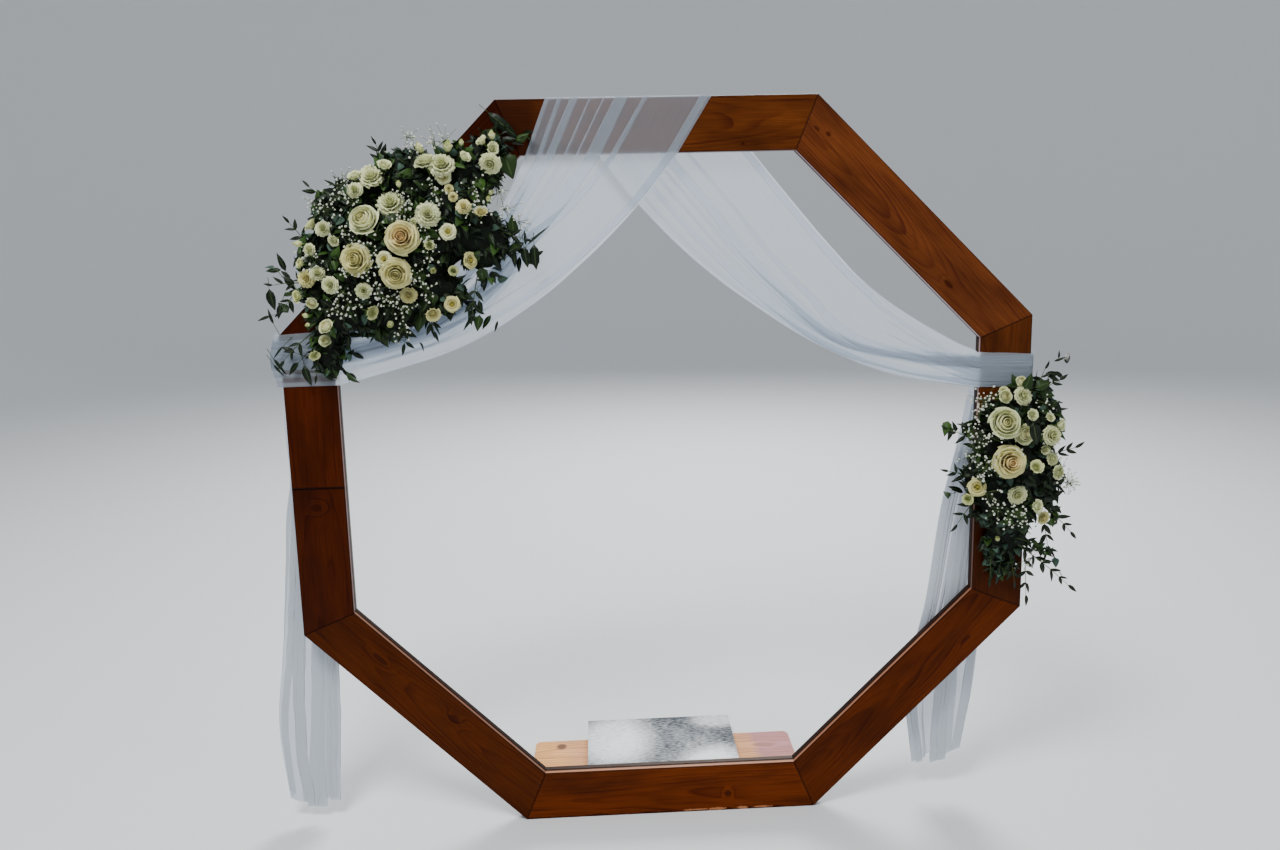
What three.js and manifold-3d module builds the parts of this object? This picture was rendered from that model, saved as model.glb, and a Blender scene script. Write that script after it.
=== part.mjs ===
// Octagonal wedding arch: a free-standing ring of stained boards in two plies, held down by a stone slab on
// two base boards, dressed with one long voile scarf and two flower arrangements.
// Millimetres, +Z up, front of the arch towards -Y.
// The origin is the middle of the front bottom board's underside.

import * as THREE from 'three';
import { mergeVertices } from 'three/addons/utils/BufferGeometryUtils.js';
import Module from 'manifold-3d';

const wasm = await Module();
wasm.setup();

// Driving dimensions of the ring
const acrossFlats = 2000;
const boardWidth = 140;
const plyThickness = 18;
const arris = 2;
const seam = 0.3;

// Driving dimensions of the base
const baseLength = 820;
const baseBoardWidth = 170;
const baseThickness = 20;
const baseCorner = 18;
const slab = { length: 462, depth: 300, thickness: 40, arris: 1.5, centreX: -9, rear: 414 };

// Driving dimensions of the cloth. The scarf crosses the top board leaning left, and its two ends turn round
// the posts between the heights low and high, each to the place across the post's back where its tail drops.
const cloth = 6;
const clear = 0.4;
const tuck = 10;
const leftTurn = { side: -1, low: 1290, high: 1428, tailInner: 905 };
const rightTurn = { side: 1, low: 1222, high: 1312, tailInner: 855 };

// Driving dimensions of the flowers
const roseRadius = 39;
const leafLength = 52;
const leafThickness = 3;
const leafAngle = 38;
const leafStep = 32;
const stemRadius = 3;
const foliageBack = 8;
const clothMargin = 6;

// Worked out from them
const apothem = acrossFlats / 2;
const innerApothem = apothem - boardWidth;
const centreZ = apothem;
const eighth = Math.PI / 4;
const mitre = Math.tan(eighth / 2);
const frontFace = -plyThickness / 2;
const backPlyFront = plyThickness / 2 + seam;
const backFace = backPlyFront + plyThickness;
const frontCloth = frontFace - clear - cloth / 2;
const backCloth = backFace + clear + cloth / 2;
const topInnerZ = centreZ + innerApothem;

// Finishes
const darkWood = new THREE.MeshStandardMaterial({ color: '#7a3512', roughness: 0.35, metalness: 0 });
const paleWood = new THREE.MeshStandardMaterial({ color: '#a8623a', roughness: 0.5, metalness: 0 });
const stone = new THREE.MeshStandardMaterial({ color: '#9aa0a3', roughness: 0.85, metalness: 0 });
const voile = new THREE.MeshStandardMaterial({ color: '#eef0f4', roughness: 0.8, metalness: 0 });
const leaf = new THREE.MeshStandardMaterial({ color: '#2c4226', roughness: 0.55, metalness: 0 });
const cream = new THREE.MeshStandardMaterial({ color: '#f3ecd2', roughness: 0.7, metalness: 0 });

const arch = new THREE.Group();

function addMesh(name, geometry, material) {
  const mesh = new THREE.Mesh(geometry, material.clone());
  mesh.name = name;
  arch.add(mesh);
}

// Turns a closed geometry into a solid that can be joined and cut
function toSolid(geometry) {
  const bare = geometry.clone();
  bare.deleteAttribute('normal');
  bare.deleteAttribute('uv');
  const merged = mergeVertices(bare, 1e-3);
  const corners = merged.index.array;
  const whole = [];
  for (let i = 0; i < corners.length; i += 3) {
    const [a, b, c] = corners.slice(i, i + 3);
    if (a !== b && b !== c && c !== a) whole.push(a, b, c);
  }
  return new wasm.Manifold(new wasm.Mesh({
    numProp: 3,
    vertProperties: new Float32Array(merged.attributes.position.array),
    triVerts: new Uint32Array(whole),
  }));
}

function toGeometry(solid) {
  const mesh = solid.getMesh();
  const geometry = new THREE.BufferGeometry();
  geometry.setAttribute('position', new THREE.BufferAttribute(mesh.vertProperties, 3));
  geometry.setIndex(new THREE.BufferAttribute(mesh.triVerts, 1));
  geometry.computeVertexNormals();
  return geometry;
}

// Boards of the ring. A shape is drawn as the top side of the octagon, x along it and y outwards from the
// centre, and the board is then turned about the octagon's centre.
function boardShape(startsAtMiddle, endsAtMiddle) {
  const gap = seam / 2;
  const outer = apothem * mitre - gap;
  const inner = innerApothem * mitre - gap;
  const leftOuter = startsAtMiddle ? gap : -outer;
  const leftInner = startsAtMiddle ? gap : -inner;
  const rightOuter = endsAtMiddle ? -gap : outer;
  const rightInner = endsAtMiddle ? -gap : inner;
  return new THREE.Shape([
    new THREE.Vector2(leftInner, innerApothem),
    new THREE.Vector2(rightInner, innerApothem),
    new THREE.Vector2(rightOuter, apothem),
    new THREE.Vector2(leftOuter, apothem),
  ]);
}

// A plate lying flat with its underside at height 0 and its edges rounded inside the shape's outline
function plate(shape, thickness, edge) {
  const geometry = new THREE.ExtrudeGeometry(shape, {
    depth: thickness - 2 * edge,
    steps: 1,
    curveSegments: 4,
    bevelEnabled: true,
    bevelThickness: edge,
    bevelSize: edge,
    bevelOffset: -edge,
    bevelSegments: 2,
  });
  geometry.translate(0, 0, edge);
  return geometry;
}

// A flat board standing upright: the shape faces -Y and the thickness runs from nearY to the back
function uprightPlate(shape, thickness, nearY, edge) {
  const geometry = plate(shape, thickness, edge);
  geometry.rotateX(Math.PI / 2);
  geometry.translate(0, nearY + thickness, 0);
  return geometry;
}

function ringBoard(name, turns, nearY, shape) {
  const geometry = uprightPlate(shape, plyThickness, nearY, arris);
  geometry.rotateY(turns * eighth);
  geometry.translate(0, 0, centreZ);
  addMesh(name, geometry, darkWood);
}

// Eighth turns clockwise, as seen from the front, from the top side of the octagon
const sides = {
  top_board: 0,
  upper_right_board: 1,
  lower_right_board: 3,
  bottom_board: 4,
  lower_left_board: 5,
  upper_left_board: 7,
};
const wholeSide = boardShape(false, false);
for (const [side, turns] of Object.entries(sides)) {
  ringBoard(`front_${side}`, turns, frontFace, wholeSide);
  ringBoard(`back_${side}`, turns, backPlyFront, wholeSide);
}

// The front posts are butted at mid-height, where the two halves of the ring meet, and the back posts bridge
// the two joints
ringBoard('front_right_post_upper', 2, frontFace, boardShape(false, true));
ringBoard('front_right_post_lower', 2, frontFace, boardShape(true, false));
ringBoard('front_left_post_lower', 6, frontFace, boardShape(false, true));
ringBoard('front_left_post_upper', 6, frontFace, boardShape(true, false));
ringBoard('back_right_post', 2, backPlyFront, wholeSide);
ringBoard('back_left_post', 6, backPlyFront, wholeSide);

// Base boards, flat on the ground behind the bottom board. The rear one has its two outer corners rounded.
function baseBoardShape(frontY, rearY, rearRadius) {
  const end = baseLength / 2;
  const quarter = Math.PI / 2;
  const shape = new THREE.Shape();
  shape.moveTo(-end, frontY);
  shape.lineTo(end, frontY);
  shape.lineTo(end, rearY - rearRadius);
  if (rearRadius > 0) shape.absarc(end - rearRadius, rearY - rearRadius, rearRadius, 0, quarter);
  shape.lineTo(-end + rearRadius, rearY);
  if (rearRadius > 0) shape.absarc(-end + rearRadius, rearY - rearRadius, rearRadius, quarter, 2 * quarter);
  return shape;
}

const baseFront = backFace + seam;
const baseMiddle = baseFront + baseBoardWidth;
const baseRear = baseMiddle + seam + baseBoardWidth;
const frontBaseShape = baseBoardShape(baseFront, baseMiddle, 0);
const rearBaseShape = baseBoardShape(baseMiddle + seam, baseRear, baseCorner);
addMesh('base_front_board', plate(frontBaseShape, baseThickness, arris), paleWood);
addMesh('base_rear_board', plate(rearBaseShape, baseThickness, arris), paleWood);

// The stone slab lies on both base boards and overhangs the rear one
const slabLeft = slab.centreX - slab.length / 2;
const slabRight = slab.centreX + slab.length / 2;
const slabShape = new THREE.Shape([
  new THREE.Vector2(slabLeft, slab.rear - slab.depth),
  new THREE.Vector2(slabRight, slab.rear - slab.depth),
  new THREE.Vector2(slabRight, slab.rear),
  new THREE.Vector2(slabLeft, slab.rear),
]);
const slabGeometry = plate(slabShape, slab.thickness, slab.arris);
slabGeometry.translate(0, 0, baseThickness);
addMesh('ballast_slab', slabGeometry, stone);

// Cloth. A station is a pair of points, one on each edge of the sheet, and the sheet runs through them.
function station(x0, y0, z0, x1, y1, z1) {
  return [new THREE.Vector3(x0, y0, z0), new THREE.Vector3(x1, y1, z1)];
}

function smoothSheet(stations, folds, depth) {
  const edges = [0, 1].map((side) => new THREE.CatmullRomCurve3(stations.map((pair) => pair[side])));
  return (u, v) => {
    const point = edges[0].getPoint(v).lerp(edges[1].getPoint(v), u);
    point.y += depth * Math.sin(Math.PI * v) * (1 - Math.cos(2 * Math.PI * folds * u)) / 2;
    return point;
  };
}

function foldedSheet(stations) {
  return (u, v) => {
    const place = THREE.MathUtils.clamp(v, 0, 1) * (stations.length - 1);
    const first = Math.min(Math.floor(place), stations.length - 2);
    const share = place - first;
    const [a, b] = [0, 1].map((side) => stations[first][side].clone().lerp(stations[first + 1][side], share));
    return a.lerp(b, u);
  };
}

// A closed solid with the sheet in its middle: x of the box runs across the sheet, z along it, y through it
function sheetGeometry(surface, across, along) {
  const box = new THREE.BoxGeometry(1, 1, 1, across, 1, along);
  const places = box.attributes.position;
  const step = 1e-3;
  for (let i = 0; i < places.count; i++) {
    const u = places.getX(i) + 0.5;
    const v = places.getZ(i) + 0.5;
    const alongIt = surface(u, Math.min(v + step, 1)).sub(surface(u, Math.max(v - step, 0)));
    const acrossIt = surface(Math.min(u + step, 1), v).sub(surface(Math.max(u - step, 0), v));
    const normal = alongIt.cross(acrossIt).normalize();
    const point = surface(u, v).addScaledVector(normal, places.getY(i) * cloth);
    places.setXYZ(i, point.x, point.y, point.z);
  }
  return mergeVertices(bareGeometry(box), 1e-3);
}

function bareGeometry(geometry) {
  geometry.deleteAttribute('normal');
  geometry.deleteAttribute('uv');
  return geometry;
}

function addSheet(name, surface, across, along) {
  const geometry = sheetGeometry(surface, across, along);
  geometry.computeVertexNormals();
  addMesh(name, geometry, voile);
}

// The scarf over the top board: up the front, over the edge and down the back, leaning left on both ways down
const clothReach = clear + cloth / 2;
const edgeReach = clothReach * Math.SQRT1_2;
const topZ = acrossFlats;
const topEdgeZ = topZ + clothReach;
const topCornerZ = topZ + edgeReach;
const wrapEndZ = topInnerZ - tuck;
const topWrap = foldedSheet([
  station(-335, frontCloth, wrapEndZ, 45, frontCloth, wrapEndZ),
  station(-306, frontCloth, 1925, 91, frontCloth, 1925),
  station(-276, frontCloth, topZ, 137, frontCloth, topZ),
  station(-275, frontFace - edgeReach, topCornerZ, 138, frontFace - edgeReach, topCornerZ),
  station(-274, frontFace, topEdgeZ, 139, frontFace, topEdgeZ),
  station(-270, backFace, topEdgeZ, 142, backFace, topEdgeZ),
  station(-268, backFace + edgeReach, topCornerZ, 143, backFace + edgeReach, topCornerZ),
  station(-266, backCloth, topZ, 144, backCloth, topZ),
  station(-202, backCloth, 1925, 200, backCloth, 1925),
  station(-138, backCloth, wrapEndZ, 255, backCloth, wrapEndZ),
]);
addSheet('voile_top_wrap', topWrap, 4, 9);

// The swags hang from the two ends of the top wrap to the two posts
const swagTop = wrapEndZ - clear;
const turnStart = innerApothem - tuck;
const swagEnd = turnStart - clear;
const swagFolds = 3;
const swagFoldDepth = -12;
const swagGrid = 12;
const leftSwag = smoothSheet([
  station(-335, frontCloth, swagTop, 45, frontCloth, swagTop),
  station(-380, frontCloth - 2, 1768, -51, frontCloth - 2, 1734),
  station(-440, frontCloth - 6, 1668, -211, frontCloth - 6, 1578),
  station(-520, frontCloth - 8, 1575, -372, frontCloth - 8, 1459),
  station(-620, frontCloth - 6, 1497, -533, frontCloth - 6, 1376),
  station(-737, frontCloth - 2, 1445, -692, frontCloth - 2, 1328),
  station(-swagEnd, frontCloth, leftTurn.high, -swagEnd, frontCloth, leftTurn.low),
], swagFolds, swagFoldDepth);
addSheet('voile_left_swag', leftSwag, swagGrid, swagGrid);

const rightSwag = smoothSheet([
  station(-138, backCloth, swagTop, 255, backCloth, swagTop),
  station(-51, backCloth - 1, 1734, 330, backCloth - 1, 1712),
  station(103, backCloth - 7, 1557, 420, backCloth - 7, 1592),
  station(261, 12, 1434, 530, 12, 1479),
  station(450, 0, 1321, 652, 0, 1383),
  station(642, frontCloth + 2, 1252, 755, frontCloth + 2, 1336),
  station(swagEnd, frontCloth, rightTurn.low, swagEnd, frontCloth, rightTurn.high),
], swagFolds, swagFoldDepth);
addSheet('voile_right_swag', rightSwag, swagGrid, swagGrid);

// Each end of the scarf turns round the outer edge of its post to the back, where a tail drops
function postWrap({ side, low, high, tailInner }) {
  const outer = apothem * side;
  const reach = edgeReach * side;
  const off = clothReach * side;
  const [firstZ, secondZ] = side < 0 ? [high, low] : [low, high];
  const ordered = (x, y) => station(x, y, firstZ, x, y, secondZ);
  return foldedSheet([
    ordered(turnStart * side, frontCloth),
    ordered(outer, frontCloth),
    ordered(outer + reach, frontFace - edgeReach),
    ordered(outer + off, frontFace),
    ordered(outer + off, backFace),
    ordered(outer + reach, backFace + edgeReach),
    ordered(outer, backCloth),
    ordered(tailInner * side, backCloth),
  ]);
}
addSheet('voile_left_post_wrap', postWrap(leftTurn), 3, 7);
addSheet('voile_right_post_wrap', postWrap(rightTurn), 3, 7);

const tailFolds = 2;
const tailFoldDepth = 12;
const leftTailTop = leftTurn.low - clear;
const rightTailTop = rightTurn.low - clear;
const leftTail = smoothSheet([
  station(-1003, backCloth, leftTailTop, -leftTurn.tailInner, backCloth, leftTailTop),
  station(-1022, backCloth + 4, 1100, -918, backCloth + 4, 1100),
  station(-1042, backCloth + 7, 900, -928, backCloth + 7, 900),
  station(-1080, backCloth + 10, 600, -934, backCloth + 10, 600),
  station(-1114, backCloth + 14, 300, -942, backCloth + 14, 300),
  station(-1100, backCloth + 16, 75, -968, backCloth + 16, 75),
], tailFolds, tailFoldDepth);
addSheet('voile_left_tail', leftTail, 8, 9);

const rightTail = smoothSheet([
  station(rightTurn.tailInner, backCloth, rightTailTop, 985, backCloth, rightTailTop),
  station(828, backCloth + 4, 1080, 965, backCloth + 4, 1080),
  station(806, backCloth + 7, 900, 950, backCloth + 7, 900),
  station(772, backCloth + 10, 600, 930, backCloth + 10, 600),
  station(724, backCloth + 14, 300, 912, backCloth + 14, 300),
  station(760, backCloth + 16, 115, 890, backCloth + 16, 150),
], tailFolds, tailFoldDepth);
addSheet('voile_right_tail', rightTail, 8, 9);

// Flowers. A bloom is turned on a lathe: a cup with a raised heart, its foot at the origin and its face along
// +Y. The profile is in shares of the bloom's radius.
const cup = [[0, 0], [0.35, 0.02], [0.78, 0.22], [1, 0.55], [1, 0.82], [0.8, 1]];
const heart = [[0.56, 0.93], [0.3, 1.04], [0, 1.08]];
const bloomProfile = [...cup, ...heart];
const bloomMiddle = 0.54;
const bloomClearance = 0.018;

function bloomGeometry(radius, grow) {
  const points = bloomProfile.map(([r, h]) => new THREE.Vector2(r * radius, h * radius));
  const geometry = new THREE.LatheGeometry(points, 12);
  const middle = radius * bloomMiddle;
  geometry.translate(0, -middle, 0);
  geometry.scale(1 + grow, 1 + grow, 1 + grow);
  geometry.translate(0, middle, 0);
  return geometry;
}

// The bloom faces forward, turned to its side and up by the two angles in degrees
function placedBloom(bloom, grow) {
  const geometry = bloomGeometry(bloom.radius, grow);
  const facing = new THREE.Euler(
    THREE.MathUtils.degToRad(180 - bloom.up),
    0,
    THREE.MathUtils.degToRad(bloom.side),
    'ZXY',
  );
  const turn = new THREE.Matrix4().makeRotationFromEuler(facing);
  geometry.applyMatrix4(turn);
  geometry.translate(bloom.x, bloom.y, bloom.z);
  return geometry;
}

// A lump of foliage: x and z of its middle, its half width and half height, and how far it reaches forward
function lump([x, z, halfWidth, halfHeight, reach]) {
  const geometry = new THREE.SphereGeometry(1, 9, 6);
  geometry.scale(halfWidth, (reach + foliageBack) / 2, halfHeight);
  geometry.translate(x, (foliageBack - reach) / 2, z);
  return toSolid(geometry);
}

// A leaf is a flat pointed oval that starts at the origin and points along +X, widest towards its stalk
function leafGeometry() {
  const belly = leafLength * 0.35;
  const swell = leafLength * 0.384;
  const shape = new THREE.Shape();
  shape.moveTo(0, 0);
  shape.quadraticCurveTo(belly, swell, leafLength, 0);
  shape.quadraticCurveTo(belly, -swell, 0, 0);
  const settings = { depth: leafThickness, steps: 1, curveSegments: 3, bevelEnabled: false };
  const geometry = new THREE.ExtrudeGeometry(shape, settings);
  geometry.translate(0, 0, -leafThickness / 2);
  geometry.rotateX(Math.PI / 2);
  return geometry;
}

// A sprig is a straight stem with leaves on both sides, from a point inside the foliage, in the arch's plane
function sprig([x, y, z, degrees, length]) {
  const stem = new THREE.CylinderGeometry(stemRadius, stemRadius, length, 4);
  stem.rotateZ(-Math.PI / 2);
  stem.translate(length / 2, 0, 0);
  let solid = toSolid(stem);
  let side = 1;
  for (let along = length - 2 * leafStep; along < length; along += leafStep) {
    const blade = leafGeometry();
    blade.rotateY(-side * THREE.MathUtils.degToRad(leafAngle));
    blade.translate(along, 0, 0);
    solid = solid.add(toSolid(blade));
    side = -side;
  }
  const tip = leafGeometry();
  tip.translate(length - stemRadius, 0, 0);
  solid = solid.add(toSolid(tip));
  return solid.rotate([0, -degrees, 0]).translate([x, y, z]);
}

// What the ring of boards fills, with its clearance
function ringCutter() {
  const octagon = (half) => {
    const points = [];
    const radius = half / Math.cos(eighth / 2);
    for (let i = 0; i < 8; i++) {
      const angle = eighth * (i + 0.5);
      points.push(new THREE.Vector2(radius * Math.cos(angle), radius * Math.sin(angle)));
    }
    return points;
  };
  const shape = new THREE.Shape(octagon(apothem + clear));
  shape.holes.push(new THREE.Path(octagon(innerApothem - clear)));
  const depth = backFace - frontFace + 2 * clear;
  const geometry = new THREE.ExtrudeGeometry(shape, { depth, steps: 1, bevelEnabled: false });
  geometry.rotateX(Math.PI / 2);
  geometry.translate(0, backFace + clear, centreZ);
  return toSolid(geometry);
}

// The cloth and all behind it, so that foliage stays in front of a swag. It is a little wider than the cloth,
// and its front lies in front of the cloth by more than the clearance, because the cloth's folds are slanted.
const behindCloth = 60;
const slantAllowance = 0.6;
function swagCutter(surface) {
  const box = new THREE.BoxGeometry(1, 1, 1, swagGrid, 1, swagGrid);
  const places = box.attributes.position;
  const front = -(cloth / 2 + clear + slantAllowance);
  for (let i = 0; i < places.count; i++) {
    const u = THREE.MathUtils.lerp(-0.02, 1.02, places.getX(i) + 0.5);
    const v = places.getZ(i) + 0.5;
    const point = surface(u, v);
    const offset = places.getY(i) > 0 ? front : behindCloth;
    places.setXYZ(i, point.x, point.y + offset, point.z);
  }
  return toSolid(box);
}

// A box round a stretch of cloth that lies on the boards, between two corners of its x and z range
const wrapFront = frontCloth - cloth / 2 - clear;
function wrapCutter(lowX, highX, lowZ, highZ) {
  const depth = behindCloth - wrapFront;
  const geometry = new THREE.BoxGeometry(highX - lowX, depth, highZ - lowZ);
  geometry.translate((lowX + highX) / 2, wrapFront + depth / 2, (lowZ + highZ) / 2);
  return toSolid(geometry);
}

function turnCutter({ side, low, high }) {
  const ends = [side * (turnStart - 2), side * (apothem + 2 * clothMargin)].sort((a, b) => a - b);
  return wrapCutter(ends[0], ends[1], low - clothMargin, high + clothMargin);
}

function arrangement(prefix, lumps, sprigs, blooms, cutters) {
  let mass = lumps.map(lump).reduce((all, next) => all.add(next));
  for (const one of sprigs) mass = mass.add(sprig(one));
  for (const cutter of cutters) mass = mass.subtract(cutter);
  blooms.forEach((bloom, i) => {
    mass = mass.subtract(toSolid(placedBloom(bloom, bloomClearance)));
    const geometry = placedBloom(bloom, 0);
    addMesh(`${prefix}_${bloom.kind}_${i + 1}`, toGeometry(toSolid(geometry)), cream);
  });
  addMesh(`${prefix}_foliage`, toGeometry(mass), leaf);
}

const ring = ringCutter();

const leftLumps = [
  [-872, 1385, 58, 88, 55],
  [-832, 1505, 105, 105, 95],
  [-862, 1610, 80, 90, 85],
  [-760, 1600, 140, 125, 125],
  [-780, 1720, 115, 110, 110],
  [-655, 1655, 140, 130, 130],
  [-640, 1800, 110, 95, 105],
  [-560, 1700, 120, 110, 115],
  [-500, 1810, 105, 95, 100],
  [-435, 1865, 62, 66, 75],
  [-455, 1650, 85, 90, 85],
  [-600, 1520, 110, 88, 95],
  [-715, 1470, 105, 85, 90],
];
const leftSprigs = [
  [-450, -45, 1640, -18, 100],
  [-490, -50, 1600, -38, 60],
  [-560, -55, 1520, -35, 110],
  [-640, -50, 1470, -75, 60],
  [-840, -40, 1410, -80, 80],
  [-920, -35, 1570, 165, 55],
  [-915, -35, 1550, 225, 70],
  [-450, -30, 1880, 15, 90],
];
const leftBlooms = [
  { kind: 'rose', x: -731, y: -98, z: 1697, radius: roseRadius, up: 25, side: -12 },
  { kind: 'rose', x: -643, y: -112, z: 1658, radius: roseRadius + 3, up: 12, side: 0 },
  { kind: 'rose', x: -756, y: -102, z: 1609, radius: roseRadius, up: 5, side: -12 },
  { kind: 'rose', x: -666, y: -108, z: 1578, radius: roseRadius - 1, up: -10, side: 5 },
  { kind: 'carnation', x: -674, y: -77, z: 1735, radius: 34, up: 35, side: 0 },
  { kind: 'carnation', x: -583, y: -96, z: 1711, radius: 31, up: 15, side: 10 },
  { kind: 'carnation', x: -714, y: -78, z: 1799, radius: 30, up: 45, side: -10 },
  { kind: 'carnation', x: -543, y: -82, z: 1826, radius: 32, up: 35, side: 5 },
];
arrangement('left', leftLumps, leftSprigs, leftBlooms, [
  ring,
  swagCutter(leftSwag),
  turnCutter(leftTurn),
  wrapCutter(-350, 160, wrapEndZ - 2, topZ + 20),
]);

const rightLumps = [
  [990, 1205, 65, 55, 65],
  [925, 1125, 105, 95, 95],
  [1025, 1120, 70, 90, 80],
  [930, 1010, 120, 100, 105],
  [1030, 960, 70, 100, 80],
  [940, 890, 105, 90, 90],
  [866, 975, 64, 95, 70],
  [938, 800, 74, 88, 55],
  [935, 725, 52, 50, 38],
];
const rightSprigs = [
  [1000, -35, 1190, 55, 100],
  [860, -35, 1090, 165, 60],
  [860, -35, 950, 195, 50],
  [1030, -40, 890, -25, 60],
  [985, -35, 790, -38, 125],
  [970, -30, 800, -30, 70],
];
const rightBlooms = [
  { kind: 'rose', x: 898, y: -80, z: 1131, radius: roseRadius + 3, up: 20, side: -5 },
  { kind: 'rose', x: 909, y: -88, z: 1033, radius: roseRadius + 5, up: 5, side: 0 },
  { kind: 'rose', x: 949, y: -66, z: 1098, radius: 28, up: 15, side: 15 },
];
arrangement('right', rightLumps, rightSprigs, rightBlooms, [
  ring,
  swagCutter(rightSwag),
  turnCutter(rightTurn),
]);

export default arch;
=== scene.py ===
"""Looks of the octagonal wedding arch: stained boards, stone slab, voile scarf, flowers and a studio floor.

Metres, +Z up, the front of the arch towards -Y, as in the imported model.
"""

import math
from functools import partial

import bpy
import numpy as np
from mathutils import Euler, Matrix, Vector, noise
from mathutils.bvhtree import BVHTree


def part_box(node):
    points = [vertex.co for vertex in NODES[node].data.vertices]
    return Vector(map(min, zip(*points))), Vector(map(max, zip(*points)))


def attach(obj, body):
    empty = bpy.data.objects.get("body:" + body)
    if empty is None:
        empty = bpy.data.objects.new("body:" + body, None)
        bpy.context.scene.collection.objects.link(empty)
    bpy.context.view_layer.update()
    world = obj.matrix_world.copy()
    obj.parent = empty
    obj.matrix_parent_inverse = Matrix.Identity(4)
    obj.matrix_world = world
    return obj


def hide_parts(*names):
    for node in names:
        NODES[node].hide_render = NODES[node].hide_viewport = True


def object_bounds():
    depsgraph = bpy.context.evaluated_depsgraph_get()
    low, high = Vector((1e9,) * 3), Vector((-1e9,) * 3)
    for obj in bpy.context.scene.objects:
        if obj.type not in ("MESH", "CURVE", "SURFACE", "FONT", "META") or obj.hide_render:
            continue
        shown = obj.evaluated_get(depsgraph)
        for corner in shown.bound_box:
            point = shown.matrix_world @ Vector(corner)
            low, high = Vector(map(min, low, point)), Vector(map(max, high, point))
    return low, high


bl_info = {
    "name": "Octagonal wedding arch",
    "version": (1, 0, 0),
    "blender": (4, 5, 0),
    "location": "3D View > Sidebar > Arch",
    "description": "Finishes the boards, hangs the voile, arranges the flowers and sets up the studio",
    "category": "Object",
}

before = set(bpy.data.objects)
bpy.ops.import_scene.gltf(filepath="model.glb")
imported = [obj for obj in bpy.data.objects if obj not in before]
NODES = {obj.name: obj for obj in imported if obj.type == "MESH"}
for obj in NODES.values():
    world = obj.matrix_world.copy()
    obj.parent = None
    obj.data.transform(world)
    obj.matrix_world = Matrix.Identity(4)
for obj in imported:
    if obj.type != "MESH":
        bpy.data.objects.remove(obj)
CAD_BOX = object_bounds()

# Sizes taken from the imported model
FRONT_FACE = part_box("front_top_board")[0].y
BACK_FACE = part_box("back_top_board")[1].y
RING_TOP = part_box("front_top_board")[1].z
RING_INNER_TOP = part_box("front_top_board")[0].z
# Depth of the pale line on the inner edges, worn wood with a painted highlight
WORN_LINE = FRONT_FACE + 0.008
CENTRE_Z = RING_TOP / 2
APOTHEM = RING_TOP / 2
INNER_APOTHEM = RING_INNER_TOP - CENTRE_Z
EIGHTH = math.pi / 4
# Nothing stands further forwards than this, a little in front of the large roses
FRONT_LIMIT = CAD_BOX[0][1] - 0.019


def linear(hex_colour):
    """A linear colour with full alpha from an sRGB one such as #8a4a22"""
    shares = [int(hex_colour[i:i + 2], 16) / 255 for i in (1, 3, 5)]
    turned = [s / 12.92 if s <= 0.04045 else ((s + 0.055) / 1.055) ** 2.4 for s in shares]
    return (*turned, 1.0)


# Settings


def colour_setting(name, description, hex_colour):
    return bpy.props.FloatVectorProperty(
        name=name, description=description, subtype="COLOR", size=4, min=0, max=1, default=linear(hex_colour)
    )


def length_setting(name, description, metres):
    return bpy.props.FloatProperty(
        name=name, description=description, default=metres, min=0, subtype="DISTANCE", unit="LENGTH"
    )


class ArchWoodSettings(bpy.types.PropertyGroup):
    """Stain and grain of the boards"""

    early: colour_setting("Early wood", "Stained colour of the pale part of a growth ring", "#69310a")
    late: colour_setting("Late wood", "Stained colour of the dark part of a growth ring", "#411405")
    shade: colour_setting("Heavy stain", "Where the stain lies thick, at joints and in patches", "#260a02")
    worn: colour_setting("Worn stain", "Bare wood showing through on worn arrises", "#b5835c")
    # The orange tan is bare wood in painted sunlight, the mauve grey weathered wood in painted shade
    base_bare: colour_setting("Base bare wood", "Orange tan of the base boards", "#ffbc70")
    base_grey: colour_setting("Base weathered wood", "Mauve grey of the weathered base boards", "#c98f92")
    ring_spacing: length_setting("Growth ring", "Spacing of the growth rings", 0.0062)


class ArchStoneSettings(bpy.types.PropertyGroup):
    """Colours of the slab"""

    # The slab runs from the dark colour, stone in painted shade, to the pale one, near white for the painted
    # sun patches
    pale: colour_setting("Pale stone", "Pale patches of the slab", "#fafbfc")
    dark: colour_setting("Dark stone", "Dark patches of the slab", "#2f3a42")


class ArchVoileSettings(bpy.types.PropertyGroup):
    """The scarf"""

    width: length_setting("Width", "Cut width of the scarf", 0.70)
    pleats: bpy.props.IntProperty(name="Pleats", description="Pleats across the scarf", default=11, min=3)
    hem: length_setting("Hem", "Width of the sewn hem", 0.009)
    # The thread is white; this grey blue is darker and bluer as painted shade and sky light on the cloth
    colour: colour_setting("Voile", "Colour of the thread", "#cfd7e0")


class ArchFlowerSettings(bpy.types.PropertyGroup):
    """Petals and leaves"""

    cream: colour_setting("Cream petal", "Outer petals of the roses", "#e4df9c")
    heart: colour_setting("Cream heart", "Heart of a cream rose", "#dfd68c")
    peach: colour_setting("Peach heart", "Heart of a peach rose", "#f2d08e")
    white: colour_setting("White petal", "Petals of the small blooms", "#eaeebc")
    # Greenish white of the petals' feet and the carnations' hearts, partly painted shade deep in the blooms
    green_white: colour_setting("Greenish petal", "Foot of the white petals", "#cdd292")
    leaf: colour_setting("Leaf", "Upper side of a leaf", "#16280f")
    leaf_dark: colour_setting("Dark leaf", "Darkest leaves", "#071005")
    leaf_bright: colour_setting("Bright leaf", "Brightest leaves", "#3a5a20")


class ArchStageSettings(bpy.types.PropertyGroup):
    """Studio round the arch"""

    floor: colour_setting("Floor", "Colour of the studio floor", "#e3e4e5")
    light: bpy.props.FloatProperty(name="Light", description="Strength of the lights", default=1.0, min=0)


# Helpers


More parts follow.
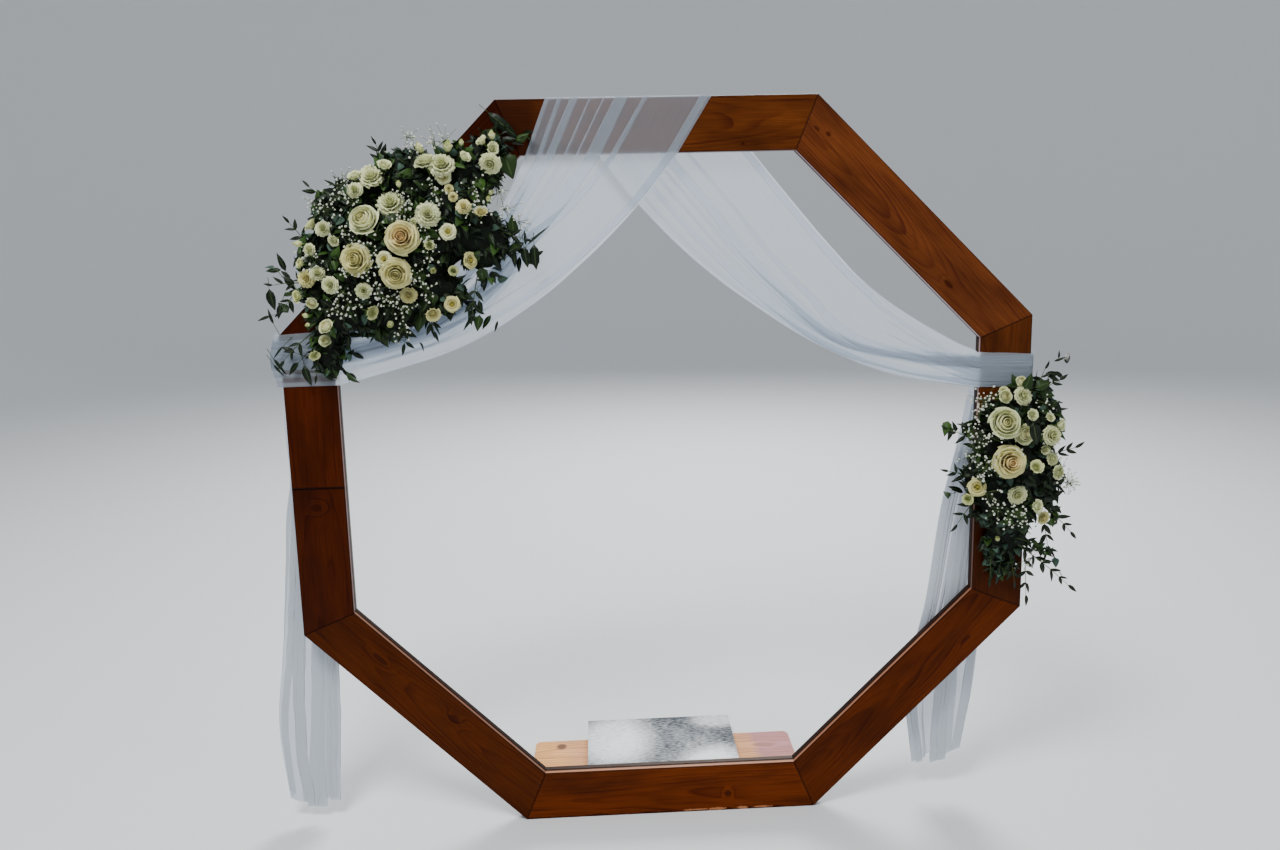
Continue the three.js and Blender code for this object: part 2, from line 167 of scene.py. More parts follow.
def add_node(tree, kind, inputs=None, **settings):
    """Adds a shader node. An input is given by its name or number, with a value, a socket or a node, which
    stands for its first output in use."""
    node = tree.nodes.new("ShaderNode" + kind)
    for key, value in settings.items():
        setattr(node, key, value)
    for key, value in (inputs or {}).items():
        if isinstance(value, bpy.types.Node):
            value = next(socket for socket in value.outputs if socket.enabled)
        if isinstance(value, bpy.types.NodeSocket):
            tree.links.new(value, node.inputs[key])
        else:
            node.inputs[key].default_value = value
    return node


def set_ramp(node, stops):
    """Gives a colour ramp its stops, each a position and a grey level or a colour"""
    elements = node.color_ramp.elements
    while len(elements) < len(stops):
        elements.new(0.5)
    for element, (position, value) in zip(elements, stops):
        element.position = position
        element.color = value if hasattr(value, "__len__") else (value, value, value, 1)
    return node


def new_material(name):
    """A material with no nodes yet, and the function that adds nodes to it"""
    material = bpy.data.materials.new(name)
    material.use_nodes = True
    material.node_tree.nodes.clear()
    return material, partial(add_node, material.node_tree)


def distance_from(add, place, middle, squeeze):
    """How far places lie from a middle, each axis squeezed by its own share"""
    offset = add("VectorMath", {0: place, 1: middle}, operation="SUBTRACT")
    squeezed = add("VectorMath", {0: offset, 1: squeeze}, operation="MULTIPLY")
    return add("VectorMath", {0: squeezed}, operation="LENGTH")


def stretched_noise(add, place, grains, detail, roughness=0.5, start=(0, 0, 0)):
    """Noise with its own number of grains in a metre along each axis"""
    scaled = add("VectorMath", {0: place, 1: grains, 2: start}, operation="MULTIPLY_ADD")
    return add("TexNoise", {"Vector": scaled, "Scale": 1, "Detail": detail, "Roughness": roughness})


def growth_rings(add, radius, stops):
    """Years counted out from the tree's centre, and how dark the wood is through each"""
    years = add("Math", {0: radius, 1: bpy.context.scene.arch_wood.ring_spacing}, operation="DIVIDE")
    turn = add("Math", {0: years}, operation="FRACT")
    return years, set_ramp(add("ValToRGB", {0: turn}), stops)


def shaded_by(add, colour, pattern, darkest, brightest, low=0.35, high=0.68):
    """A colour made darker and brighter by a pattern"""
    level = add("MapRange",
                {"Value": pattern, "From Min": low, "From Max": high, "To Min": darkest, "To Max": brightest})
    return add("VectorMath", {0: colour, "Scale": level}, operation="SCALE")


def lit_through(add, sheer, colour, surface):
    """A thin body that also glows with the light behind it"""
    front = add("BsdfPrincipled", {"Base Color": colour, **surface})
    glow = add("BsdfTranslucent", {"Color": colour})
    return add("MixShader", {0: sheer, 1: front, 2: glow})


def find_or_make(name, make, *values):
    """A material that is made once and found again by its name"""
    return bpy.data.materials.get(name) or make(name, *values)


def colours_of(settings, *names):
    return [tuple(getattr(settings, name)) for name in names]


def deselect():
    if bpy.context.object and bpy.context.object.mode != "OBJECT":
        bpy.ops.object.mode_set(mode="OBJECT")
    bpy.ops.object.select_all(action="DESELECT")


def points_of(mesh):
    points = np.empty(len(mesh.vertices) * 3, np.float32)
    mesh.vertices.foreach_get("co", points)
    return points.reshape(-1, 3).astype(float)


def take_apart(piece):
    """Removes an object and returns its corners and faces"""
    points = points_of(piece.data)
    faces = [tuple(face.vertices) for face in piece.data.polygons]
    mesh = piece.data
    bpy.data.objects.remove(piece)
    bpy.data.meshes.remove(mesh)
    return points, faces


def plate_form(columns, rows):
    """A closed thin plate: its corners, each with a place across (-1 to 1), along (0 to 1) and through it"""
    deselect()
    bpy.ops.mesh.primitive_grid_add(x_subdivisions=columns, y_subdivisions=rows, size=2)
    wall = bpy.context.object.modifiers.new("thickness", "SOLIDIFY")
    wall.thickness = 1
    wall.offset = 0
    bpy.ops.object.modifier_apply(modifier=wall.name)
    places, faces = take_apart(bpy.context.object)
    places[:, 1] = (places[:, 1] + 1) / 2
    return places, faces


def ball_form(subdivisions):
    deselect()
    bpy.ops.mesh.primitive_ico_sphere_add(subdivisions=subdivisions, radius=1)
    return take_apart(bpy.context.object)


def rod_form(sides, steps):
    """A closed rod of radius 1 from height 0 to 1, with rings of corners between its ends"""
    deselect()
    bpy.ops.mesh.primitive_cylinder_add(vertices=sides, radius=1, depth=1, location=(0, 0, 0.5))
    bpy.ops.object.transform_apply(location=True)
    for step in range(1, steps):
        bpy.ops.object.mode_set(mode="EDIT")
        bpy.ops.mesh.select_all(action="SELECT")
        height = (0, 0, step / steps)
        bpy.ops.mesh.bisect(plane_co=height, plane_no=(0, 0, 1))
        bpy.ops.object.mode_set(mode="OBJECT")
    return take_apart(bpy.context.object)


def shape_plate(form, surface, thickness):
    """The plate's corners laid along a surface, which gives a point for each place across and along it"""
    across, along, through = form[0].T
    step = 1e-3
    middle = surface(across, along)
    over = surface(across + step, along) - surface(across - step, along)
    up = surface(across, along + step) - surface(across, along - step)
    normal = np.cross(over, up)
    normal /= np.linalg.norm(normal, axis=1)[:, None] + 1e-12
    return middle + normal * (through * thickness)[:, None]


def shape_rod(form, line, radii):
    """The rod's corners laid along a line of points, with a radius at each"""
    line = np.array([tuple(point) for point in line])
    radii = np.asarray(radii, float)
    share = np.linspace(0, 1, len(line))
    x, y, z = form[0].T
    middle = np.stack([np.interp(z, share, line[:, k]) for k in range(3)], 1)
    radius = np.interp(z, share, radii)
    heading = Vector(line[-1] - line[0]).normalized()
    turn = np.array(heading.to_track_quat("Z", "Y").to_matrix())
    return middle + (turn[:, 0][None] * (x * radius)[:, None]) + (turn[:, 1][None] * (y * radius)[:, None])


def over_ring(point):
    """Whether a place lies over the boards of the ring, seen from the front"""
    turns = [k * EIGHTH for k in range(8)]
    out = max(point[0] * math.sin(turn) + (point[2] - CENTRE_Z) * math.cos(turn) for turn in turns)
    return INNER_APOTHEM - 0.01 < out < APOTHEM + 0.01


class Bunch:
    """Shaped forms that are collected and made into one object"""

    def __init__(self, forms):
        self.forms = forms
        self.points = []
        self.faces = []
        self.finishes = []
        self.places = []
        self.count = 0

    def add(self, points, faces, finish, places=(0.5, 0.5, 0.5)):
        start = self.count
        points[:, 1] += max(0, FRONT_LIMIT - points[:, 1].min())
        if over_ring(points.mean(axis=0)):
            points[:, 1] -= max(0, points[:, 1].max() - FRONT_FACE + 0.002)
        self.points.append(points)
        self.places.append(np.broadcast_to(places, points.shape))
        self.faces.extend([tuple(corner + start for corner in face) for face in faces])
        self.finishes.extend([finish] * len(faces))
        self.count += len(points)

    def add_rod(self, line, radii, finish):
        form = self.forms["rod"]
        self.add(shape_rod(form, line, radii), form[1], finish)

    def add_leaf(self, foot, heading, facing, length, width, bend, widest, finish, tone):
        """A leaf whose corners keep their places across and along it, with its own tone"""
        form = self.forms["leaf"]
        points = leaf_points(form, foot, heading, facing, length, width, bend, widest)
        places = np.stack([form[0][:, 0], form[0][:, 1], np.full(len(form[0]), tone)], 1)
        self.add(points, form[1], finish, places)

    def build(self, name, materials, replaced=()):
        mesh = bpy.data.meshes.new(name)
        mesh.from_pydata(np.concatenate(self.points).tolist(), [], self.faces)
        for material in materials:
            mesh.materials.append(material)
        mesh.polygons.foreach_set("material_index", self.finishes)
        mesh.polygons.foreach_set("use_smooth", [True] * len(self.faces))
        place = mesh.attributes.new("place", "FLOAT_VECTOR", "POINT")
        place.data.foreach_set("vector", np.concatenate(self.places).astype(np.float32).ravel())
        piece = bpy.data.objects.new(name, mesh)
        bpy.context.scene.collection.objects.link(piece)
        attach(piece, "root")
        if replaced:
            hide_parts(*replaced)
        return piece


# Finishes of the wood


def wood_coordinates(add, turns, centre, slope):
    """Board axes, x along, y into the board, z outwards, and the distance from the tree's centre line"""
    coordinates = add("TexCoord")
    board = add("Mapping",
                {"Vector": coordinates.outputs["Object"], "Location": (0, 0, CENTRE_Z),
                 "Rotation": (0, turns * EIGHTH, 0)}, vector_type="TEXTURE")
    wander = stretched_noise(add, board, (2.4, 9, 9), 2, start=(centre[0] * 40, centre[1] * 300, 3.1))
    level = add("VectorMath", {0: wander.outputs["Color"], 1: (0.5, 0.5, 0.5)}, operation="SUBTRACT")
    shift = add("VectorMath", {0: level, "Scale": 0.030}, operation="SCALE")
    warped = add("VectorMath", {0: board, 1: shift}, operation="ADD")
    along = add("SeparateXYZ", {0: board})
    lean = add("VectorMath", {0: (0, slope[0], slope[1]), "Scale": along.outputs["X"]}, operation="SCALE")
    leaned = add("VectorMath", {0: warped, 1: lean}, operation="SUBTRACT")
    return board, distance_from(add, leaned, (0, *centre), (0, 1, 1))


def chipped_arris(add, board, axes, chips, finished, worn, shade):
    """The outer arris darker along a wavy line, with chips down to bare wood near the places given"""
    wavy = add("TexNoise", {"Vector": board, "Scale": 22, "Detail": 3})
    depth = add("Math", {0: wavy, 1: 0.030, 2: APOTHEM - 0.0215}, operation="MULTIPLY_ADD")
    under = add("Math", {0: axes.outputs["Z"], 1: depth}, operation="SUBTRACT")
    dark = add("MapRange", {"Value": under, "From Min": 0, "From Max": 0.003, "To Min": 0, "To Max": 0.8})
    finished = add("Mix", {"Factor": dark, "A": finished, "B": shade}, data_type="RGBA")
    ragged = add("TexNoise", {"Vector": board, "Scale": 75, "Detail": 4, "Roughness": 0.7})
    for x, half_length, depth_of_chip in chips:
        distance = distance_from(add, board, (x, 0, APOTHEM - 0.006), (1 / half_length, 0, 1 / depth_of_chip))
        rough = add("Math", {0: ragged, 1: 1.6, 2: distance}, operation="MULTIPLY_ADD")
        bare = add("MapRange",
                   {"Value": rough, "From Min": 1.65, "From Max": 1.5, "To Min": 0, "To Max": 0.9})
        finished = add("Mix", {"Factor": bare, "A": finished, "B": worn}, data_type="RGBA")
    return finished


def stained_pine(name, turns, centre, slope, colours, knots, worn_edge, joint, thick_end):
    """Flat-sawn pine, stained and varnished: rings cut by the board show as long pointed arches, the late
    wood takes the stain darker, and the varnish gives a soft gloss that the grain breaks up"""
    early, late, shade, worn = colours
    material, add = new_material(name)
    board, radius = wood_coordinates(add, turns, centre, slope)
    axes = add("SeparateXYZ", {0: board})

    knot_mask = None
    for x, z, size, drawn_out in knots:
        distance = distance_from(add, board, (x, 0, z), (1 / drawn_out, 0, 1))
        swell = add("MapRange",
                    {"Value": distance, "From Min": 0, "From Max": size * 3.0, "To Min": size * 1.0,
                     "To Max": 0}, interpolation_type="SMOOTHERSTEP")
        radius = add("Math", {0: radius, 1: swell}, operation="ADD")
        knot = add("Math", {0: distance, 1: size}, operation="DIVIDE")
        rim = set_ramp(add("ValToRGB", {0: knot}), [(0.0, 0.85), (0.4, 0.6), (0.66, 0.8), (1.0, 0.0)])
        knot_mask = rim if knot_mask is None else add("Math", {0: knot_mask, 1: rim}, operation="MAXIMUM")

    years, band = growth_rings(add, radius, [(0, 0.1), (0.4, 0.15), (0.78, 0.8), (0.9, 1), (1, 0.1)])
    whole = add("Math", {0: years}, operation="FLOOR")
    year = add("TexWhiteNoise", {"W": whole}, noise_dimensions="1D")
    year_strength = add("MapRange", {"Value": year, "To Min": 0.15, "To Max": 1})
    rings = add("Math", {0: band, 1: year_strength}, operation="MULTIPLY")
    faint = stretched_noise(add, board, (5, 14, 24), 1)
    clear = add("MapRange", {"Value": faint, "From Min": 0.36, "From Max": 0.62, "To Min": 0.25, "To Max": 1})
    rings = add("Math", {0: rings, 1: clear}, operation="MULTIPLY")

    fibre = stretched_noise(add, board, (9, 420, 420), 3, 0.6)
    patch = stretched_noise(add, board, (3.2, 12, 12), 3, 0.55, (centre[1] * 17, turns * 3.7, centre[0] * 90))

    colour = add("Mix", {"Factor": rings, "A": early, "B": late}, data_type="RGBA")
    patch_level = add("MapRange",
                      {"Value": patch, "From Min": 0.42, "From Max": 0.72, "To Min": 0, "To Max": 0.75})
    stained = add("Mix", {"Factor": patch_level, "A": colour, "B": shade}, data_type="RGBA")
    # The left end of the top board darkened towards the heavy stain colour: painted shadow of the foliage
    if thick_end:
        thick = add("MapRange",
                    {"Value": axes.outputs["X"], "From Min": -0.23, "From Max": -0.33, "To Max": 0.8})
        stained = add("Mix", {"Factor": thick, "A": stained, "B": shade}, data_type="RGBA")
    fibred = shaded_by(add, stained, fibre, 0.72, 1.16)

    # Stain gathers at the mitred ends and along the two arrises
    mitre = math.tan(EIGHTH / 2)
    side = add("Math", {0: axes.outputs["X"]}, operation="ABSOLUTE")
    end = add("Math", {0: axes.outputs["Z"], 1: mitre}, operation="MULTIPLY")
    to_end = add("Math", {0: end, 1: side}, operation="SUBTRACT")
    middle = add("Math", {0: axes.outputs["Z"], 1: (APOTHEM + INNER_APOTHEM) / 2}, operation="SUBTRACT")
    from_middle = add("Math", {0: middle}, operation="ABSOLUTE")
    half_width = (APOTHEM - INNER_APOTHEM) / 2
    to_arris = add("Math", {0: half_width, 1: from_middle}, operation="SUBTRACT")
    to_edge = add("Math", {0: to_end, 1: to_arris}, operation="MINIMUM")
    gather = add("MapRange",
                 {"Value": to_edge, "From Min": 0.0, "From Max": 0.0042, "To Min": 0.6, "To Max": 0},
                 interpolation_type="SMOOTHSTEP")
    edged = add("Mix", {"Factor": gather, "A": fibred, "B": shade}, data_type="RGBA")
    if joint is not None:
        from_joint = add("Math", {0: axes.outputs["X"], 1: joint}, operation="SUBTRACT")
        to_joint = add("Math", {0: from_joint}, operation="ABSOLUTE")
        dark = add("MapRange",
                   {"Value": to_joint, "From Min": 0.0022, "From Max": 0.0045, "To Min": 0.92, "To Max": 0})
        edged = add("Mix", {"Factor": dark, "A": edged, "B": linear("#120402")}, data_type="RGBA")
    # The inner edges are dark, in part dark stain and in part painted shade, with a pale line along the front
    # ply that is worn wood with a painted highlight of its arris
    at_edge = add("Math", {0: axes.outputs["Z"], 1: INNER_APOTHEM + 0.0006}, operation="LESS_THAN")
    from_line = add("Math", {0: axes.outputs["Y"], 1: WORN_LINE}, operation="SUBTRACT")
    apart = add("Math", {0: from_line}, operation="ABSOLUTE")
    level = add("MapRange",
                {"Value": apart, "From Min": 0.0028, "From Max": 0.0055, "To Min": 1.1, "To Max": 0.05})
    sawn = add("VectorMath", {0: worn[:3], "Scale": level}, operation="SCALE")
    share = add("Math", {0: at_edge, 1: 0.9}, operation="MULTIPLY")
    finished = add("Mix", {"Factor": share, "A": edged, "B": sawn}, data_type="RGBA")
    if knot_mask is not None:
        finished = add("Mix", {"Factor": knot_mask, "A": finished, "B": linear("#260803")}, data_type="RGBA")
    if worn_edge:
        finished = chipped_arris(add, board, axes, worn_edge, finished, worn, shade)

    roughness = add("MapRange",
                    {"Value": fibre, "From Min": 0.3, "From Max": 0.7, "To Min": 0.42, "To Max": 0.3})
    relief = add("Math", {0: rings, 1: 0.6, 2: fibre}, operation="MULTIPLY_ADD")
    bump = add("Bump", {"Strength": 0.35, "Distance": 0.0006, "Height": relief})
    shader = add("BsdfPrincipled",
                 {"Base Color": finished, "Roughness": roughness, "Normal": bump, "Specular IOR Level": 0.12,
                  "Specular Tint": linear("#e8b89a")})
    add("OutputMaterial", {"Surface": shader})
    return material


def weathered_pine(name, centre, slope):
    """Bare pine left outdoors, with no gloss: orange tan where sunlight is painted on it, at the left end
    and right of the slab, and mauve grey, weathered and in painted shade, between and at the right end"""
    bare, grey = colours_of(bpy.context.scene.arch_wood, "base_bare", "base_grey")
    material, add = new_material(name)
    place = add("TexCoord").outputs["Object"]
    axes = add("SeparateXYZ", {0: place})
    wander = add("TexNoise", {"Vector": place, "Scale": 4, "Detail": 2})
    radius = distance_from(add, place, (0, *centre), (slope, 1, 1))
    bent = add("Math", {0: wander, 1: 0.03, 2: radius}, operation="MULTIPLY_ADD")
    _, band = growth_rings(add, bent, [(0, 0.1), (0.7, 0.45), (0.9, 0.6), (1, 0.1)])
    fibre = stretched_noise(add, place, (12, 380, 380), 3)
    patch = stretched_noise(add, place, (5, 9, 9), 4)
    # Painted sunlight at the left end and in a band right of the slab, weathered grey with painted shade
    # between and at the right end
    position = add("MapRange", {"Value": axes.outputs["X"], "From Min": -0.41, "From Max": 0.41})
    along = set_ramp(add("ValToRGB", {0: position}),
                     [(0, 0.05), (0.24, 0.1), (0.3, 0.8), (0.7, 0.75), (0.76, 0.1), (0.84, 0.25),
                      (0.88, 0.9)])
    side = add("Math", {0: patch, 1: 1.6, 2: along}, operation="MULTIPLY_ADD")
    weather = add("MapRange", {"Value": side, "From Min": 0.85, "From Max": 1.65})
    colour = add("Mix", {"Factor": weather, "A": bare, "B": grey}, data_type="RGBA")
    ringed = add("Mix", {"Factor": band, "A": colour, "B": linear("#8f6248")}, data_type="RGBA")
    distance = distance_from(add, place, BASE_KNOT, (1, 1, 0))
    dark = add("MapRange",
               {"Value": distance, "From Min": 0.010, "From Max": 0.021, "To Min": 0.8, "To Max": 0},
               interpolation_type="SMOOTHSTEP")
    knotted = add("Mix", {"Factor": dark, "A": ringed, "B": linear("#3a2320")}, data_type="RGBA")
    fibred = shaded_by(add, knotted, fibre, 0.8, 1.15)
    bump = add("Bump", {"Strength": 0.4, "Distance": 0.001, "Height": fibre})
    shader = add("BsdfPrincipled",
                 {"Base Color": fibred, "Roughness": 0.72, "Normal": bump, "Specular IOR Level": 0.3})
    add("OutputMaterial", {"Surface": shader})
    return material


def cleft_stone(name):
    """Cleft slate, split and not polished: matt, with fine streaks along the slab and a slightly wavy face"""
    dark, light = colours_of(bpy.context.scene.arch_stone, "dark", "pale")
    material, add = new_material(name)
    place = add("TexCoord").outputs["Object"]
    streaks = stretched_noise(add, place, (60, 200, 200), 3, 0.6)
    clouds = add("TexNoise", {"Vector": place, "Scale": 4.5, "Detail": 4})
    grit = add("TexNoise", {"Vector": place, "Scale": 700, "Detail": 2})
    mixed = add("Math", {0: clouds, 1: streaks}, operation="ADD")
    speckled = add("Math", {0: grit, 1: 0.4, 2: mixed}, operation="MULTIPLY_ADD")
    low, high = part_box("ballast_slab")
    reach = high - low
    ragged = add("MapRange",
                 {"Value": clouds, "From Min": 0.3, "From Max": 0.7, "To Min": -0.35, "To Max": 0.35})
    # Each pale patch is a patch of painted sunlight
    for along, deep, half_length, half_depth, strength in SLAB_PATCHES:
        middle = (low.x + along * reach.x, low.y + deep * reach.y, 0)
        squeeze = (1 / (half_length * reach.x), 1 / (half_depth * reach.y), 0)
        distance = distance_from(add, place, middle, squeeze)
        reached = add("Math", {0: distance, 1: ragged}, operation="ADD")
        pale = add("MapRange", {"Value": reached, "From Min": 1.35, "From Max": 0.4, "To Max": strength},
                   interpolation_type="SMOOTHSTEP")
        speckled = add("Math", {0: speckled, 1: pale}, operation="ADD")
    level = add("MapRange", {"Value": speckled, "From Min": 1.12, "From Max": 1.95})
    colour = add("Mix", {"Factor": level, "A": dark, "B": light}, data_type="RGBA")
    bump = add("Bump", {"Strength": 0.6, "Distance": 0.002, "Height": mixed})
    shader = add("BsdfPrincipled", {"Base Color": colour, "Roughness": 0.82, "Normal": bump})
    add("OutputMaterial", {"Surface": shader})
    return material


# Each board: turns of an eighth from the top side, the tree's centre behind the face and out from the
# octagon's centre, how it leans along the board, its tone in red, green and blue, which paints sun on the
# boards in the light and shade on those in shadow, and its knots as x along, z out, radius and how long
# they are drawn out along the grain
# Tones that paint light: sun on the boards in the light, a little shade on the lower and back boards, and
# shade on the left boards
WARM = (0.84, 0.99, 2.0)
RED = (0.66, 0.54, 0.6)
DARK = (0.45, 0.32, 0.5)
DARKER = (0.35, 0.23, 0.35)
BOARDS = {
    "front_top_board": (0, (0.066, 0.94), (0.05, 0.02), WARM, ((0.218, 0.880, 0.004, 1.2),)),
    "front_upper_right_board": (1, (0.034, 0.91), (0.075, -0.03), (1.0, 1.22, 3.2),
                                ((-0.356, 0.936, 0.004, 3.0), (-0.324, 0.947, 0.006, 1.5),
                                 (0.187, 0.898, 0.007, 2.6))),
    "front_right_post_upper": (2, (0.090, 0.92), (0.06, 0.03), WARM, ()),
    "front_right_post_lower": (2, (0.090, 0.95), (-0.04, 0.02), (0.36, 0.33, 0.5), ()),
    "front_lower_right_board": (3, (0.062, 0.90), (-0.05, 0.03), RED, ((-0.239, 0.956, 0.007, 3.2),)),
    "front_bottom_board": (4, (0.080, 0.955), (0.03, -0.01), (0.92, 0.76, 0.7),
                           ((-0.165, 0.948, 0.009, 1.1),)),
    "front_lower_left_board": (5, (0.070, 0.93), (0.04, 0.03), (0.50, 0.44, 0.5),
                               ((0.215, 0.913, 0.009, 3.4), (-0.053, 0.910, 0.012, 1.8))),
    "front_left_post_lower": (6, (0.110, 0.93), (0.03, -0.02), DARKER, ((-0.054, 0.937, 0.016, 0.75),)),
    "front_left_post_upper": (6, (0.100, 0.94), (-0.03, 0.02), DARK, ()),
    "front_upper_left_board": (7, (0.050, 0.93), (0.06, 0.02), DARKER, ()),
    "back_top_board": (0, (-0.050, 0.92), (0.06, 0.02), WARM, ((0.16, 0.93, 0.009, 1.4),)),
    "back_upper_right_board": (1, (-0.046, 0.94), (-0.05, 0.03), WARM, ()),
    "back_right_post": (2, (-0.064, 0.93), (0.05, 0.02), RED, ((0.10, 0.92, 0.008, 1.5),)),
    "back_lower_right_board": (3, (-0.048, 0.93), (0.05, -0.03), RED, ()),
    "back_bottom_board": (4, (-0.056, 0.94), (-0.06, 0.02), RED, ()),
    "back_lower_left_board": (5, (-0.050, 0.93), (0.06, 0.03), RED, ((-0.2, 0.94, 0.009, 1.6),)),
    "back_left_post": (6, (-0.063, 0.92), (0.05, -0.02), RED, ()),
    "back_upper_left_board": (7, (-0.048, 0.94), (-0.07, 0.02), RED, ((0.05, 0.91, 0.010, 1.5),)),
}

# Painted sun patches on the slab: where along it and how deep, and half their length and depth, in shares of
# its size, and how strong
SLAB_PATCHES = (
    (0.20, 0.55, 0.27, 0.52, 0.66), (0.82, 0.12, 0.24, 0.32, 0.75), (0.90, 0.90, 0.18, 0.16, 0.45),
)

# A knot on the left end of the base
BASE_KNOT = (-0.326, 0.332, 0)

# Chips on the bottom board's lower arris: x along the board, half length and depth
BOTTOM_CHIPS = (
    (-0.135, 0.034, 0.0045), (-0.205, 0.018, 0.006), (-0.262, 0.034, 0.003), (-0.07, 0.045, 0.003),
)


def set_finish(node, material):
    """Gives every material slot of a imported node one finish"""
    slots = node.material_slots
    if not slots:
        node.data.materials.append(material)
    for slot in slots:
        slot.material = material


class ARCH_OT_ring_finish(bpy.types.Operator):
    """Stain and varnish the boards of the ring"""

    bl_idname = "arch.ring_finish"
    bl_label = "Ring finish"

    def execute(self, context):
        colours = colours_of(context.scene.arch_wood, "early", "late", "shade", "worn")
        for name, (turns, centre, slope, tone, knots) in BOARDS.items():
            worn = BOTTOM_CHIPS if name == "front_bottom_board" else ()
            joint = None
            if "post_" in name:
                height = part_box(name)[0 if name.endswith("upper") else 1].z - CENTRE_Z
                joint = height if turns == 6 else -height
            # Each board's colours scaled by its tone, which paints sun on some boards and shade on others
            toned = [(*[a * b for a, b in zip(colour[:3], tone)], 1.0) for colour in colours]
            finish = stained_pine(f"varnished_pine_{name}", turns, centre, slope, toned, knots, worn, joint,
                                  name == "front_top_board")
            set_finish(NODES[name], finish)
        return {"FINISHED"}


class ARCH_OT_base_finish(bpy.types.Operator):
    """Finish the base boards and the slab"""

    bl_idname = "arch.base_finish"
    bl_label = "Base finish"

    def execute(self, context):
        boards = {"base_front_board": (0.09, 0.02), "base_rear_board": (0.29, -0.015)}
        for name, (middle, slope) in boards.items():
            set_finish(NODES[name], weathered_pine(f"weathered_pine_{name}", (middle, -0.06), slope))
        set_finish(NODES["ballast_slab"], cleft_stone("cleft_slate"))
        return {"FINISHED"}


# The scarf. A station is a pair of points in millimetres, one on each edge of the scarf, from the foot of the
# left tail to the foot of the right one. CLOTH_GAP and TURN_BULGE are in metres.

CLOTH_GAP = 0.0012
FRONT_CLOTH = (FRONT_FACE - CLOTH_GAP) * 1000
BACK_CLOTH = (BACK_FACE + CLOTH_GAP) * 1000
OUTER_CLOTH = (APOTHEM + CLOTH_GAP) * 1000
TOP_CLOTH = (RING_TOP + CLOTH_GAP) * 1000
CORNER = 2.5
TURN_BULGE = 0.010


def pair(x0, y0, z0, x1, y1, z1):
    return [[x0, y0, z0], [x1, y1, z1]]


LEFT_TAIL = [
    pair(-975, BACK_CLOTH + 16, 75, -1096, BACK_CLOTH + 16, 75),
    pair(-955, BACK_CLOTH + 15, 300, -1107, BACK_CLOTH + 15, 300),
    pair(-944, BACK_CLOTH + 12, 560, -1070, BACK_CLOTH + 15, 560),
    pair(-932, BACK_CLOTH + 9, 760, -1044, BACK_CLOTH + 15, 760),
    pair(-922, BACK_CLOTH + 6, 930, -1023, BACK_CLOTH + 14, 930),
    pair(-917, BACK_CLOTH + 4, 1010, -1005, BACK_CLOTH + 8, 1010),
    pair(-912, BACK_CLOTH + 2, 1130, -1003, BACK_CLOTH + 2, 1130),
    pair(-905, BACK_CLOTH, 1290, -1003, BACK_CLOTH, 1290),
]
RIGHT_TAIL = [
    pair(985, BACK_CLOTH, 1222, 868, BACK_CLOTH, 1222),
    pair(965, BACK_CLOTH + 3, 1080, 838, BACK_CLOTH + 3, 1080),
    pair(944, BACK_CLOTH + 6, 900, 796, BACK_CLOTH + 6, 900),
    pair(912, BACK_CLOTH + 10, 600, 756, BACK_CLOTH + 10, 600),
    pair(888, BACK_CLOTH + 14, 300, 708, BACK_CLOTH + 14, 300),
    pair(864, BACK_CLOTH + 16, 150, 730, BACK_CLOTH + 16, 105),
]
LEFT_SWAG = [
    pair(-850, FRONT_CLOTH, 1412, -850, FRONT_CLOTH, 1290),
    pair(-737, FRONT_CLOTH - 2, 1445, -692, FRONT_CLOTH - 2, 1328),
    pair(-620, FRONT_CLOTH - 6, 1497, -533, FRONT_CLOTH - 6, 1376),
    pair(-520, FRONT_CLOTH - 8, 1575, -372, FRONT_CLOTH - 8, 1459),
    pair(-440, FRONT_CLOTH - 6, 1668, -211, FRONT_CLOTH - 6, 1578),
    pair(-380, FRONT_CLOTH - 2, 1768, -51, FRONT_CLOTH - 2, 1734),
    pair(-335, FRONT_CLOTH, 1852, 45, FRONT_CLOTH, 1852),
]
RIGHT_SWAG = [
    pair(-138, BACK_CLOTH, 1852, 255, BACK_CLOTH, 1852),
    pair(-51, BACK_CLOTH - 1, 1740, 362, BACK_CLOTH - 1, 1722),
    pair(103, BACK_CLOTH - 7, 1582, 460, BACK_CLOTH - 7, 1606),
    pair(261, 12, 1457, 564, 12, 1494),
    pair(450, 0, 1338, 667, 0, 1408),
    pair(642, FRONT_CLOTH + 2, 1260, 770, FRONT_CLOTH + 2, 1340),
    pair(850, FRONT_CLOTH, 1222, 850, FRONT_CLOTH, 1292),
]


def quarter(from_angle, to_angle, radius, steps):
    """Places on an arc as pairs of offsets"""
    angles = np.radians(np.linspace(from_angle, to_angle, steps))
    return [(radius * math.cos(a), radius * math.sin(a)) for a in angles]


def round_post(side, first, second, back_to_front):
    """The loose turn round a post's outer edge, at the two heights of the scarf's edges"""
    bulge = 20 if side < 0 else 10
    lap = 4
    middle = (FRONT_CLOTH + BACK_CLOTH) / 2
    half = (BACK_CLOTH - FRONT_CLOTH) / 2
    path = []
    for angle in np.radians(np.linspace(0, 180, 9)):
        out = OUTER_CLOTH - lap + (bulge + lap) * math.sin(angle)
        path.append((out * side, middle + half * math.cos(angle)))
    if not back_to_front:
        path.reverse()
    return [pair(x, y, first, x, y, second) for x, y in path]


